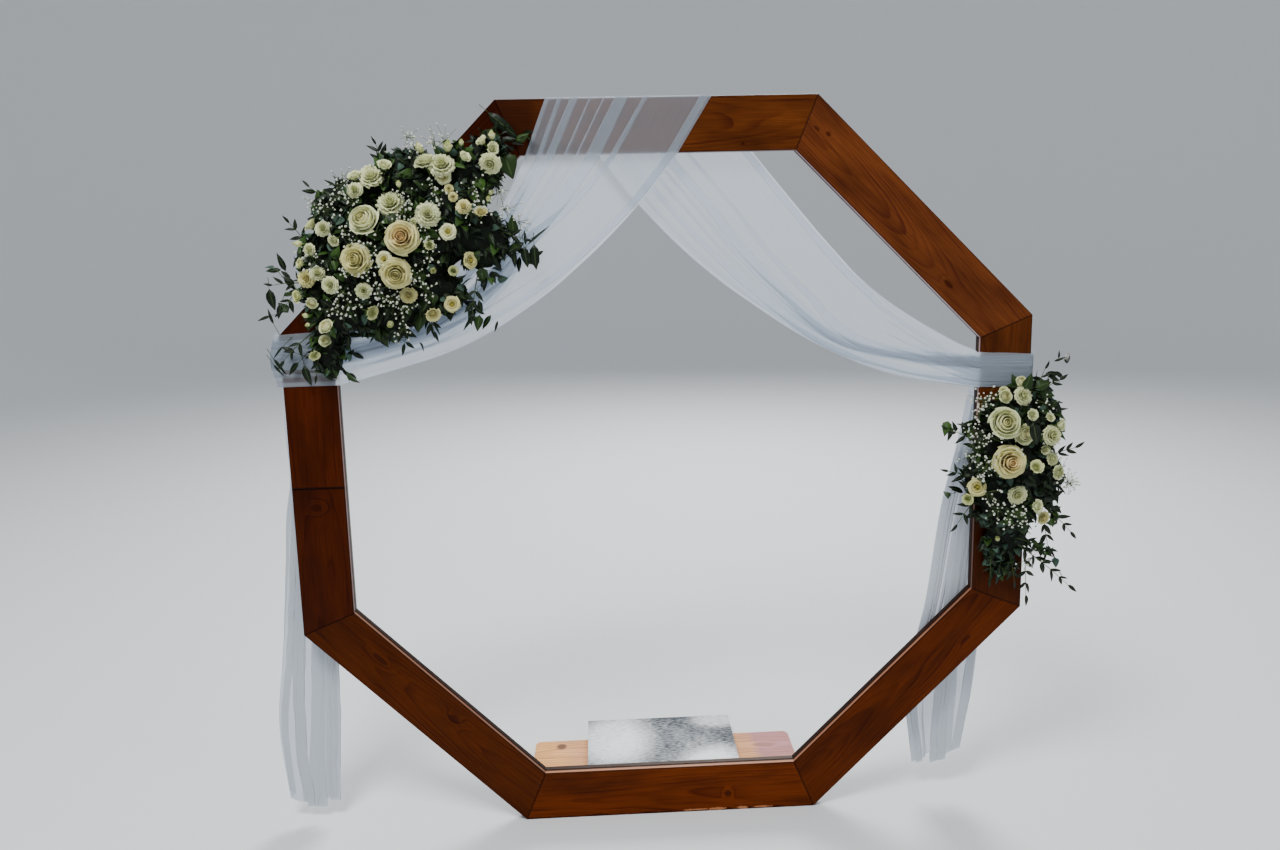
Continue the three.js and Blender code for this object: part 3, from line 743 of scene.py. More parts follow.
def over_top():
    """Up the front of the top board, over its edge and down the back, leaning left both ways"""
    front = [(-335, 45, 1852), (-306, 91, 1925), (-276, 137, 1998)]
    back = [(-266, 144, 1998), (-202, 200, 1925), (-138, 255, 1852)]
    rows = [pair(a, FRONT_CLOTH, z, b, FRONT_CLOTH, z) for a, b, z in front]
    edge = TOP_CLOTH - CORNER
    for dy, dz in quarter(180, 90, CORNER, 4):
        depth = FRONT_CLOTH + CORNER + dy
        rows.append(pair(-274, depth, edge + dz, 139, depth, edge + dz))
    for dy, dz in quarter(90, 0, CORNER, 4):
        depth = BACK_CLOTH - CORNER + dy
        rows.append(pair(-268, depth, edge + dz, 142, depth, edge + dz))
    rows += [pair(a, BACK_CLOTH, z, b, BACK_CLOTH, z) for a, b, z in back]
    return rows


def fan(pivot, start, end, pivot_first):
    """The scarf turning in its own plane about one edge, behind a post, from its start to its end"""
    pivot = np.array(pivot, float)
    start = np.array(start, float) - pivot
    end = np.array(end, float) - pivot
    rows = []
    for share in np.linspace(0, 1, 7)[1:-1]:
        angle = math.atan2(start[1], start[0])
        sweep = math.atan2(end[1], end[0]) - angle
        length = np.hypot(*start) * (1 - share) + np.hypot(*end) * share
        point = pivot + length * np.array([math.cos(angle + sweep * share), math.sin(angle + sweep * share)])
        edges = [[pivot[0], BACK_CLOTH, pivot[1]], [point[0], BACK_CLOTH, point[1]]]
        rows.append(edges if pivot_first else edges[::-1])
    return rows


def smooth_rows(stations, step):
    """Rows along a stretch, a step apart, on a smooth curve through its stations"""
    stations = np.array(stations, float).reshape(len(stations), 6)
    middles = (stations[:, :3] + stations[:, 3:]) / 2
    gaps = np.linalg.norm(np.diff(middles, axis=0), axis=1)
    gaps = np.maximum(gaps, np.linalg.norm(np.diff(stations, axis=0), axis=1) / 2)
    at = np.concatenate([[0], np.cumsum(gaps)])
    slopes = np.gradient(stations, at, axis=0, edge_order=1)
    count = max(2, int(round(at[-1] / step)))
    rows = []
    for place in np.linspace(0, at[-1], count + 1):
        i = min(int(np.searchsorted(at, place, side="right")) - 1, len(at) - 2)
        width = at[i + 1] - at[i]
        t = (place - at[i]) / width
        ease = (2 * t**3 - 3 * t**2 + 1, t**3 - 2 * t**2 + t, -2 * t**3 + 3 * t**2, t**3 - t**2)
        row = (ease[0] * stations[i] + ease[1] * width * slopes[i]
               + ease[2] * stations[i + 1] + ease[3] * width * slopes[i + 1])
        rows.append(row)
    return rows


def straight_rows(stations, step):
    """Rows along a stretch with straight lines between its stations, no more than a step apart"""
    stations = np.array(stations, float).reshape(len(stations), 6)
    rows = []
    for first, second in zip(stations[:-1], stations[1:]):
        count = max(1, int(math.ceil(np.abs(second - first).max() / step)))
        rows += [first + (second - first) * k / count for k in range(count)]
    return rows + [stations[-1]]


def scarf_rows():
    """All rows of the scarf in metres, with how far each is held against the wood: 1 outwards along the
    scarf's face, -1 the other way, 0 where it hangs free"""
    swag_step = 13
    tail_step = 20
    wood_step = 12
    turn_step = 9
    left_fan = fan((-1003, 1290), (-905, 1290), (-1003, 1398), False)
    right_fan = fan((985, 1222), (985, 1280), (868, 1222), True)
    left_edge = pair(-998, BACK_CLOTH, 1398, -998, BACK_CLOTH, 1290)
    right_edge = pair(998, BACK_CLOTH, 1222, 998, BACK_CLOTH, 1280)
    left_front = [pair(-990, FRONT_CLOTH, 1398, -990, FRONT_CLOTH, 1290),
                  pair(-850, FRONT_CLOTH, 1412, -850, FRONT_CLOTH, 1290)]
    right_front = [pair(850, FRONT_CLOTH, 1222, 850, FRONT_CLOTH, 1292),
                   pair(990, FRONT_CLOTH, 1222, 990, FRONT_CLOTH, 1280)]
    # Each stretch's rows, and how it is held at its start and its end. None hangs free between its ends.
    stretches = [
        (smooth_rows(LEFT_TAIL, tail_step), 1, 1),
        (smooth_rows([LEFT_TAIL[-1], *left_fan, left_edge], turn_step), 1, 1),
        (straight_rows(round_post(-1, 1398, 1290, True), turn_step), 1, 1),
        (straight_rows(left_front, wood_step), 1, 1),
        (smooth_rows(LEFT_SWAG, swag_step), 1, None),
        (straight_rows(over_top(), wood_step), 1, 1),
        (smooth_rows(RIGHT_SWAG, swag_step), 1, -1),
        (straight_rows(right_front, wood_step), -1, -1),
        (straight_rows(round_post(1, 1222, 1280, False), turn_step), -1, -1),
        (smooth_rows([right_edge, *right_fan, RIGHT_TAIL[0]], turn_step), -1, -1),
        (smooth_rows(RIGHT_TAIL, tail_step), -1, -1),
    ]
    rows, holds = [], []
    for stretch, hold_in, hold_out in stretches:
        share = np.linspace(0, 1, len(stretch))
        if hold_out is None:
            hold = 1 - np.sin(math.pi * share) ** 0.6
        else:
            hold = hold_in + (hold_out - hold_in) * share
        for row, value in zip(stretch, hold):
            if rows and np.abs(row - rows[-1]).max() < 0.5:
                continue
            rows.append(row)
            holds.append(value)
    return np.array(rows).reshape(-1, 2, 3) / 1000, np.array(holds)


def slow_wave(places, waves):
    """A gentle uneven wave: the sum of sines, each a height, a number of turns and a start"""
    return sum(height * np.sin(2 * math.pi * (turns * places + start)) for height, turns, start in waves)


def pleat_row(width, flat_width, wave, softness, pleats):
    """One row of knife pleats of the scarf's own width: places across, 0 to 1, and heights in metres. The
    cloth runs back over itself wherever the wave is above a level, which is found so that the row fits the
    width."""
    step = flat_width / (len(wave) - 1)
    low, high = wave.min() - softness, wave.max() + softness
    for _ in range(24):
        level = (low + high) / 2
        back = np.clip((wave - level) / softness + 0.5, 0, 1)
        back = back * back * (3 - 2 * back)
        heading = math.pi * (back[1:] + back[:-1]) / 2
        if np.cos(heading).sum() * step > width:
            high = level
        else:
            low = level
    across = np.concatenate([[0], np.cumsum(np.cos(heading))]) * step
    # Each fold rises two turns and sinks back over the cloth round it
    rise = np.sin(heading)
    reach = int(0.75 * len(rise) / pleats)
    window = np.hanning(2 * reach + 3)
    sink = np.convolve(rise, window, mode="same")
    sink *= rise.sum() / max(sink.sum(), 1e-9)
    height = np.concatenate([[0], np.cumsum(rise - sink)]) * step
    return across / across[-1], height


def average(values, reach):
    """Each value averaged with its neighbours"""
    padded = np.concatenate([np.repeat(values[:1], reach, 0), values, np.repeat(values[-1:], reach, 0)])
    window = np.ones(2 * reach + 1) / (2 * reach + 1)
    return np.convolve(padded, window, mode="valid")


def hem_drop(run, flat):
    """How much further than its straight hem each fold of a tail hangs, in metres: in lobes, lowest inside"""
    near = np.clip(1 - run / 0.22, 0, 1) ** 2
    lobes = 0.030 * np.sin(math.pi * flat) + slow_wave(flat, ((0.012, 2.6, 0.1), (0.007, 5.3, 0.4)))
    return near[:, None] * lobes[None]


def scarf_points(columns):
    """The scarf's corners, row by row, with their places on the flat cloth in metres"""
    settings = bpy.context.scene.arch_voile
    rows, holds = scarf_rows()
    first, second = rows[:, 0], rows[:, 1]
    middles = (first + second) / 2
    steps = np.linalg.norm(np.diff(middles, axis=0), axis=1)
    edge_steps = np.maximum(np.linalg.norm(np.diff(first, axis=0), axis=1),
                            np.linalg.norm(np.diff(second, axis=0), axis=1))
    run = np.concatenate([[0], np.cumsum((steps + edge_steps) / 2)])
    share = run / run[-1]
    flat = np.linspace(0, 1, columns)
    lean = np.gradient(middles, axis=0)
    across = second - first
    normal = np.cross(across, lean)
    normal /= np.linalg.norm(normal, axis=1)[:, None]
    turned = np.concatenate([normal[:1], (normal[:-2] + normal[1:-1] * 2 + normal[2:]) / 4, normal[-1:]])
    normal = turned / np.linalg.norm(turned, axis=1)[:, None]

    places, heights = [], []
    held = average(holds, 3)
    for t, hold, edge_a, edge_b in zip(share, held, first, second):
        drift = slow_wave(flat, ((0.50, 1, 0.13 * t), (0.26, 2.3, 0.35 - 0.3 * t), (0.10, 5.1, 0.8 * t)))
        folds = np.sin(2 * math.pi * (settings.pleats * flat + drift + 0.25 * math.sin(9 * t)))
        width = np.linalg.norm(edge_b - edge_a)
        spread = float(np.clip((width / settings.width - 0.2) / 0.3, 0, 1))
        sheer = np.exp(-(((flat - 0.78) / 0.09) ** 4)) * 2.2 * spread
        turned_edge = np.exp(-(((flat - 0.945) / 0.022) ** 2)) * 2.0 * spread
        gathered = slow_wave(flat, ((0.35, 1.6, 0.2 + 0.3 * t), (0.22, 3.7, 0.6 - 0.5 * t)))
        softness = 0.40 + 0.10 * (1 - abs(hold))
        where, height = pleat_row(width, settings.width, folds + gathered - sheer + turned_edge, softness,
                                  settings.pleats)
        places.append(where)
        heights.append(height * (1 - 0.7 * abs(hold)))
    places = np.array(places)
    heights = np.array(heights)
    up = average(-heights.min(axis=1), 4)
    down = average(heights.max(axis=1), 4)
    heights += np.where(held > 0, held * up, held * down)[:, None]
    points = first[:, None] + across[:, None] * places[..., None] + normal[:, None] * heights[..., None]
    points[..., 2] -= hem_drop(run, flat) + hem_drop(run[-1] - run, flat[::-1])
    # The loose turn round the left post stands out most at the middle of its height
    past_edge = np.clip((-points[..., 0] - APOTHEM) / TURN_BULGE, 0, 1) * (points[..., 2] > CENTRE_Z + 0.2)
    points[..., 0] -= TURN_BULGE * past_edge * np.sin(math.pi * places)
    cloth_places = np.stack(np.broadcast_arrays(flat[None] * settings.width, run[:, None], held[:, None]), -1)
    return points, cloth_places, run[-1]


def woven_voile(length):
    """Polyester voile, plain woven of hard-twisted thread and pressed: sheer where it lies single, white
    where pleats stack up, closer at the hems, and soft with a faint bloom in grazing light"""
    settings = bpy.context.scene.arch_voile
    material, add = new_material("white_voile")
    place = add("Attribute", attribute_name="place")
    axes = add("SeparateXYZ", {0: place.outputs["Vector"]})
    across, along = axes.outputs["X"], axes.outputs["Y"]

    # Threads are 0.3 mm apart in the real cloth, and are drawn every 1.5 mm so that they show
    thread = 2 * math.pi / 0.0015
    warp = add("Math", {0: across, 1: thread}, operation="MULTIPLY")
    weft = add("Math", {0: along, 1: thread}, operation="MULTIPLY")
    warp_wave = add("Math", {0: warp}, operation="SINE")
    weft_wave = add("Math", {0: weft}, operation="SINE")
    weave = add("Math", {0: warp_wave, 1: weft_wave}, operation="MAXIMUM")
    slub = stretched_noise(add, place.outputs["Vector"], (420, 7, 0), 2)

    to_sides = []
    for value, far in ((across, settings.width), (along, length)):
        rest = add("Math", {0: far, 1: value}, operation="SUBTRACT")
        to_sides.append(add("Math", {0: rest, 1: value}, operation="MINIMUM"))
    to_edge = add("Math", {0: to_sides[0], 1: to_sides[1]}, operation="MINIMUM")
    hem = add("Math", {0: to_edge, 1: settings.hem}, operation="LESS_THAN")

    woven = add("Math", {0: weave, 1: 0.05, 2: 0.50}, operation="MULTIPLY_ADD")
    slubbed = add("Math", {0: slub, 1: 0.12, 2: woven}, operation="MULTIPLY_ADD")
    # The tails hang in close folds, so less shows and shines through them
    doubled = add("MapRange", {"Value": to_sides[1], "From Min": 1.2, "From Max": 0.8, "To Max": 0.36})
    closer = add("Math", {0: doubled, 1: slubbed}, operation="ADD")
    cover = add("Math", {0: hem, 1: 0.2, 2: closer}, operation="MULTIPLY_ADD", use_clamp=True)
    shine = add("Math", {0: doubled, 1: -1.3, 2: 0.7}, operation="MULTIPLY_ADD")
    cloth = lit_through(add, shine, tuple(settings.colour),
                        {"Roughness": 0.75, "Sheen Weight": 0.3, "Sheen Roughness": 0.4})
    clear = add("BsdfTransparent")
    shown = add("MixShader", {0: cover, 1: clear, 2: cloth})
    add("OutputMaterial", {"Surface": shown})
    return material


class ARCH_OT_voile(bpy.types.Operator):
    """Drape the voile scarf over the top board and round the posts"""

    bl_idname = "arch.voile"
    bl_label = "Voile scarf"

    def execute(self, context):
        columns = 240
        points, cloth_places, length = scarf_points(columns)
        deselect()
        bpy.ops.mesh.primitive_grid_add(x_subdivisions=columns - 1, y_subdivisions=len(points) - 1, size=1)
        scarf = bpy.context.object
        scarf.name = "voile_scarf"
        if len(scarf.data.vertices) != points.shape[0] * points.shape[1]:
            raise RuntimeError(f"the grid has {len(scarf.data.vertices)} corners, not {points.shape[:2]}")
        scarf.data.vertices.foreach_set("co", points.astype(np.float32).ravel())
        place = scarf.data.attributes.new("place", "FLOAT_VECTOR", "POINT")
        place.data.foreach_set("vector", cloth_places.astype(np.float32).ravel())
        scarf.data.update()
        bpy.ops.object.shade_smooth()
        scarf.data.materials.append(woven_voile(length))
        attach(scarf, "root")
        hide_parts(*[name for name in NODES if name.startswith("voile_")])
        return {"FINISHED"}


# Flowers. Lengths in this part are millimetres, turned to metres where a form is laid out.

MM = 0.001
CAMERA_PLACE = Vector((-0.1667, -2.5358, 1.7092))

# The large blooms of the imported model: radius, how far each looks up and to the right in degrees, and its
# kind
LARGE_BLOOMS = {
    "left_rose_1": (39, 25, -12, "white_rose"),
    "left_rose_2": (42, 12, 0, "peach_rose"),
    "left_rose_3": (39, 5, -12, "cream_rose"),
    "left_rose_4": (38, -10, 5, "cream_rose"),
    "left_carnation_5": (34, 35, 0, "carnation"),
    "left_carnation_6": (31, 15, 10, "carnation"),
    "left_carnation_7": (30, 45, -10, "carnation"),
    "left_carnation_8": (32, 35, 5, "carnation"),
    "right_rose_1": (42, 20, -5, "white_rose"),
    "right_rose_2": (44, 5, 0, "peach_rose"),
    "right_rose_3": (28, 15, 15, "white_rose"),
}

# Small blooms where they show: kind, x and z on a plane through the arrangement, radius, and how far each
# looks up and to the right in degrees
LEFT_PLANE = -90
RIGHT_PLANE = -70
LEFT_BLOOMS = (
    ("cup", -753, 1839, 20, 50, -15), ("double", -717, 1817, 27, 50, 0), ("cup", -684, 1833, 20, 50, 25),
    ("double", -758, 1779, 20, 20, -10), ("bud", -650, 1787, 12, 60, 0),
    ("cup_green", -890, 1685, 20, 40, -60), ("double", -843, 1687, 20, 15, -5),
    ("bud", -912, 1660, 15, 10, -60), ("cup", -815, 1660, 17, -20, -20), ("double", -879, 1637, 16, 10, -20),
    ("cup_green", -901, 1602, 15, 20, -40), ("double_cream", -892, 1565, 23, 5, -10),
    ("double", -865, 1576, 20, 35, 25), ("double", -835, 1548, 22, 0, -5), ("double", -754, 1531, 20, 5, 10),
    ("cup_green", -913, 1521, 19, 0, -40), ("globe", -884, 1505, 15, -20, 0),
    ("bud", -912, 1466, 11, 20, -45), ("globe", -852, 1442, 20, 30, -25), ("globe", -858, 1407, 16, 25, 0),
    ("bud", -927, 1439, 10, -10, -30), ("cup_green", -743, 1478, 21, -10, 50),
    ("cup_green", -890, 1374, 16, -20, 25), ("bud", -590, 1883, 17, 60, -40), ("bud", -527, 1872, 20, 60, 25),
    ("cup", -488, 1851, 17, 30, 50), ("bud", -492, 1884, 11, 60, 20), ("double", -579, 1841, 30, 60, -20),
    ("double", -537, 1837, 27, 45, 20), ("open", -540, 1808, 20, 5, 5),
    ("double_cream", -528, 1778, 12, 0, 20), ("double_cream", -519, 1758, 12, -10, 20),
    ("cup", -438, 1888, 17, 40, -45), ("bud", -416, 1898, 15, 70, 10), ("cup", -420, 1873, 20, 0, 45),
    ("double", -423, 1838, 27, -25, -10), ("bud", -433, 1748, 12, 40, 20),
    ("double_cream", -494, 1733, 19, 20, 0), ("cup_cream", -452, 1715, 19, 45, 10),
    ("bud", -407, 1745, 10, 20, 50), ("open", -536, 1673, 21, 10, 5), ("cup", -618, 1698, 11, 20, -10),
    ("open", -698, 1608, 21, 15, -15), ("cup_green", -584, 1639, 15, 15, 10),
    ("open_cream", -485, 1601, 23, 0, 50), ("bud", -578, 1578, 15, 0, 10),
    ("cup_green", -528, 1575, 15, 10, 10), ("double_cream", -643, 1518, 22, -30, 10),
    ("open_cream", -535, 1492, 21, 0, 0), ("cup_cream", -586, 1472, 22, -25, 25),
    ("bud", -691, 1449, 15, -20, 0),
)
RIGHT_BLOOMS = (
    ("cup_green", 911, 1244, 16, 40, -5), ("globe", 947, 1243, 16, 30, 10), ("globe", 906, 1205, 18, 15, -5),
    ("double", 953, 1204, 25, 20, 10), ("cup", 979, 1153, 18, 10, 10), ("cup", 964, 1097, 25, -20, 30),
    ("double", 1036, 1095, 27, 10, 15), ("cup_green", 997, 1007, 21, 25, 0),
    ("double", 1040, 1030, 19, 10, 25), ("double", 1058, 992, 20, 5, 30), ("cup", 1018, 1056, 15, 10, 10),
    ("cup", 1028, 1142, 14, 30, 10), ("open_cream", 839, 957, 25, 15, -25), ("double", 949, 933, 26, -5, 0),
    ("cup", 999, 899, 22, 10, 25), ("double_cream", 1041, 864, 19, -10, 25),
    ("cup_green", 801, 905, 18, 0, -30), ("bud", 901, 808, 12, 40, -20), ("cup", 1055, 1122, 19, 10, 45),
)

# Clusters of baby's breath, as x and z on the same planes
LEFT_BREATH = (
    (-837, 1743), (-825, 1728), (-792, 1678), (-782, 1643), (-740, 1640), (-727, 1617), (-736, 1587),
    (-604, 1679), (-593, 1654), (-810, 1529), (-792, 1501), (-704, 1516), (-688, 1493), (-663, 1485),
    (-667, 1508), (-559, 1769), (-553, 1744), (-473, 1769), (-459, 1740), (-480, 1725), (-598, 1901),
    (-568, 1907), (-532, 1895), (-779, 1791), (-791, 1762), (-755, 1744), (-868, 1618), (-865, 1591),
    (-819, 1479), (-755, 1500), (-580, 1613), (-618, 1564), (-623, 1729), (-415, 1773), (-405, 1719),
    (-596, 1523), (-782, 1571), (-659, 1436), (-652, 1765), (-636, 1728), (-700, 1691), (-720, 1535),
)
RIGHT_BREATH = (
    (842, 1212), (854, 1184), (838, 1163), (824, 1109), (841, 1081), (857, 1097), (831, 1042), (851, 1014),
    (867, 1030), (844, 992), (931, 882), (953, 867), (918, 860), (894, 889), (1011, 1061), (1053, 996),
    (1071, 967), (1000, 1191), (865, 947), (935, 1056),
)

# Spines that the greenery spreads from, as pairs of x and z
LEFT_SPINE = ((-870, 1450), (-470, 1830))
RIGHT_SPINE = ((960, 720), (960, 1200))

# Sprigs: foot x, y, z, heading in degrees from +X towards +Z, and length
LEFT_SPRIGS = (
    (-420, -50, 1672, -10, 70), (-480, -55, 1528, -100, 60), (-930, -45, 1552, 175, 60),
    (-925, -40, 1540, 225, 70), (-935, -30, 1400, -140, 60), (-890, -35, 1380, -100, 60),
    (-600, -60, 1465, -72, 40), (-450, -30, 1890, 30, 60), (-700, -40, 1850, 100, 50),
    (-850, -35, 1760, 130, 50), (-910, -30, 1660, 120, 60),
)
RIGHT_SPRIGS = (
    (1005, -40, 1215, 78, 70), (1025, -40, 1215, 42, 50), (1065, -40, 1035, 28, 55),
    (1050, -40, 880, -40, 80), (1035, -40, 870, -80, 80), (990, -35, 790, -12, 70), (985, -35, 770, -34, 150),
    (995, -35, 740, -90, 90), (820, -40, 1090, 150, 70), (820, -40, 980, 152, 60), (840, -40, 905, -134, 65),
    (900, -30, 745, -95, 50), (955, -30, 740, -80, 60),
)
# Single leaves in front of the scarf and round the left arrangement: foot x, y, z, heading, length and how
# broad each is for its length
LEFT_LEAVES = (
    (-376, -50, 1663, 94, 48, 0.62), (-352, -50, 1640, 208, 56, 0.45), (-365, -52, 1640, 240, 30, 0.7),
    (-378, -50, 1620, -88, 43, 0.33), (-352, -50, 1630, -82, 54, 0.42), (-326, -50, 1635, -88, 64, 0.42),
    (-347, -48, 1634, 92, 38, 0.2), (-343, -48, 1634, 42, 74, 0.1), (-320, -50, 1608, 32, 20, 0.5),
    (-443, -50, 1600, -37, 44, 0.18), (-460, -52, 1580, -92, 44, 0.6), (-472, -55, 1497, -80, 38, 0.35),
    (-484, -55, 1461, -130, 52, 0.2), (-472, -55, 1458, -102, 42, 0.62), (-543, -60, 1548, -100, 42, 0.5),
    (-570, -62, 1528, -78, 40, 0.4), (-685, -60, 1432, 216, 60, 0.4), (-682, -60, 1433, -27, 55, 0.36),
    (-667, -58, 1391, -103, 32, 0.3), (-664, -58, 1394, -36, 28, 0.35), (-614, -62, 1470, -110, 54, 0.6),
    (-655, -62, 1471, -118, 38, 0.6), (-600, -62, 1446, -74, 46, 0.15), (-590, -62, 1446, -66, 40, 0.15),
    (-864, -28, 1369, 8, 34, 0.35), (-858, -28, 1368, -75, 48, 0.4), (-815, -30, 1415, -94, 40, 0.42),
    (-815, -30, 1415, -6, 38, 0.36), (-1015, -25, 1342, -51, 40, 0.16), (-902, -25, 1343, -50, 66, 0.12),
    (-986, -24, 1388, 227, 42, 0.15), (-1014, -24, 1357, -53, 54, 0.15), (-949, -26, 1345, 228, 42, 0.4),
    (-936, -26, 1336, -75, 54, 0.4), (-957, -26, 1371, 152, 36, 0.4), (-957, -45, 1583, 110, 50, 0.3),
    (-963, -45, 1565, -46, 44, 0.3), (-1003, -42, 1538, -80, 55, 0.45), (-976, -42, 1500, -106, 40, 0.4),
    (-1000, -40, 1448, 107, 42, 0.2), (-1006, -40, 1469, 196, 36, 0.25), (-430, -22, 1968, -42, 105, 0.26),
    (-405, -22, 1898, 5, 50, 0.3), (-392, -45, 1862, -72, 64, 0.85),
)
RIGHT_LEAVES = (
    (970, -102, 1140, -78, 64, 0.5), (1052, -45, 1185, -60, 48, 0.3), (952, -82, 1226, 65, 46, 0.65),
    (985, -75, 1228, 20, 44, 0.7), (1000, -70, 1212, -12, 42, 0.6), (870, -34, 880, 200, 50, 0.4),
    (905, -30, 760, 250, 50, 0.3), (960, -30, 800, -20, 60, 0.4), (930, -28, 720, -100, 60, 0.3),
)


def flower_forms():
    """The few forms that every petal, leaf and stem is shaped from"""
    return {
        "petal": plate_form(6, 6),
        "ruffle": plate_form(8, 4),
        "frill": plate_form(6, 3),
        "small_petal": plate_form(4, 4),
        "leaf": plate_form(2, 5),
        "ball": ball_form(1),
        "rod": rod_form(5, 4),
    }


def heading_in_plane(degrees, lean):
    """A direction in the plane of the ring, turned from +X towards +Z, leaning out to the front"""
    angle = math.radians(degrees)
    return Vector((math.cos(angle), -lean, math.sin(angle))).normalized()


def bloom_axis(up, side):
    up, side = math.radians(up), math.radians(side)
    return Vector((math.sin(side) * math.cos(up), -math.cos(side) * math.cos(up), math.sin(up)))


def stand(points, foot, axis, size, spin):
    """Points of a form of unit size that stands on z = 0, turned to an axis and put on its foot"""
    turn = axis.to_track_quat("Z", "Y").to_matrix() @ Matrix.Rotation(spin, 3, "Z")
    return np.array(foot) + (points * size) @ np.array(turn).T


def cup_petal(form, turn, spread, foot, rim, height, curl, close, frill, thickness):
    """A petal of a cup: out from the foot, up the side of the cup, and rolled back at its rim. One side
    stands a little outside the other, so each petal lies over the next. A closing cup draws in towards its
    rim."""
    def surface(across, along):
        along = np.clip(along, 0, None)
        reach = 0.34 + 0.66 * np.sin(np.clip(along * 1.3, 0, 1) * math.pi / 2)
        angle = turn + across * spread * reach
        rise = along ** 1.1 * (1 - 0.08 * across**2 - 0.12 * across**4)
        swell = np.sin(np.clip(rise, 0, 1) * math.pi / 2) ** 0.7
        roll = np.clip((along - 0.68) / 0.32, 0, 1) ** 2
        wave = frill * np.sin(across * 9 + turn * 5) * along**3
        radius = (foot + (rim - foot) * swell) * (1 - close * rise**2)
        radius = radius + curl * roll * (0.75 + 0.5 * across**2) + 0.05 * rim * across + wave * 0.6
        level = height * rise - 0.6 * curl * roll + wave
        return np.stack([radius * np.cos(angle), radius * np.sin(angle), level], 1)
    return shape_plate(form, surface, thickness)


# Whorls of petals from the heart out: number, foot radius, rim radius, height, half spread in degrees, curl,
# how far the cup closes and how frilled its rim is, in shares of the bloom's radius
WHORLS = {
    "rose": (
        (3, 0.03, 0.13, 0.98, 100, 0.00, 0.45, 0),
        (4, 0.05, 0.25, 1.03, 78, 0.02, 0.30, 0),
        (5, 0.08, 0.38, 1.05, 64, 0.04, 0.18, 0),
        (5, 0.10, 0.52, 1.00, 56, 0.08, 0.08, 0),
        (6, 0.12, 0.66, 0.90, 50, 0.13, 0.00, 0.01),
        (6, 0.12, 0.78, 0.72, 46, 0.18, 0.00, 0.02),
        (5, 0.10, 0.86, 0.48, 50, 0.20, 0.00, 0.03),
    ),
    "globe": (
        (3, 0.03, 0.16, 0.98, 100, 0.00, 0.50, 0),
        (4, 0.05, 0.34, 1.04, 82, 0.01, 0.42, 0),
        (5, 0.08, 0.56, 1.06, 68, 0.02, 0.34, 0),
        (5, 0.10, 0.74, 1.02, 60, 0.04, 0.24, 0),
        (5, 0.12, 0.86, 0.90, 56, 0.07, 0.12, 0.01),
        (5, 0.12, 0.90, 0.66, 54, 0.16, 0.04, 0.02),
    ),
    "carnation": (
        (5, 0.01, 0.10, 1.02, 80, 0.03, 0.0, 0.06),
        (7, 0.03, 0.24, 1.04, 56, 0.07, 0.0, 0.09),
        (8, 0.05, 0.42, 0.98, 42, 0.12, 0.0, 0.09),
        (9, 0.06, 0.60, 0.86, 36, 0.18, 0.0, 0.09),
        (10, 0.07, 0.74, 0.66, 32, 0.24, 0.0, 0.08),
        (9, 0.08, 0.80, 0.42, 34, 0.22, 0.0, 0.07),
    ),
    "open": (
        (5, 0.06, 0.44, 0.62, 50, 0.08, 0.05, 0.01),
        (6, 0.06, 0.70, 0.66, 42, 0.16, 0.0, 0.02),
        (5, 0.06, 0.84, 0.46, 46, 0.20, 0.0, 0.02),
    ),
    "double": (
        (4, 0.02, 0.14, 0.92, 88, 0.02, 0.25, 0.04),
        (6, 0.03, 0.32, 0.98, 60, 0.08, 0.10, 0.07),
        (8, 0.05, 0.50, 0.92, 46, 0.14, 0.0, 0.08),
        (8, 0.06, 0.68, 0.78, 42, 0.20, 0.0, 0.08),
        (8, 0.07, 0.82, 0.52, 40, 0.22, 0.0, 0.07),
    ),
    "cup": (
        (3, 0.02, 0.14, 0.90, 100, 0.00, 0.40, 0),
        (4, 0.05, 0.34, 1.00, 72, 0.03, 0.20, 0.02),
        (5, 0.06, 0.54, 1.10, 58, 0.10, 0.05, 0.04),
        (6, 0.06, 0.68, 1.02, 50, 0.22, 0.0, 0.06),
    ),
    "bud": (
        (3, 0.05, 0.42, 1.70, 90, 0.0, 0.75, 0),
        (4, 0.08, 0.56, 1.50, 70, 0.02, 0.55, 0),
        (4, 0.08, 0.66, 1.15, 60, 0.05, 0.30, 0),
    ),
}
# What each kind is made of: its whorls, its petals' form and its petals' finish in the list of flower
# finishes
KINDS = {
    "white_rose": ("globe", "petal", 0),
    "cream_rose": ("rose", "petal", 1),
    "peach_rose": ("rose", "petal", 2),
    "carnation": ("carnation", "ruffle", 3),
    "double": ("double", "frill", 3),
    "double_cream": ("double", "frill", 1),
    "cup": ("cup", "small_petal", 3),
    "cup_cream": ("cup", "small_petal", 1),
    "cup_green": ("cup", "small_petal", 4),
    "open": ("open", "small_petal", 0),
    "open_cream": ("open", "small_petal", 1),
    "globe": ("globe", "small_petal", 0),
    "bud": ("bud", "small_petal", 4),
}
HEART_FINISH = 5
STEM_FINISH = 6
# The turn from one whorl or floret to the next, in radians, as in growing plants
GROWTH_TURN = 2.4


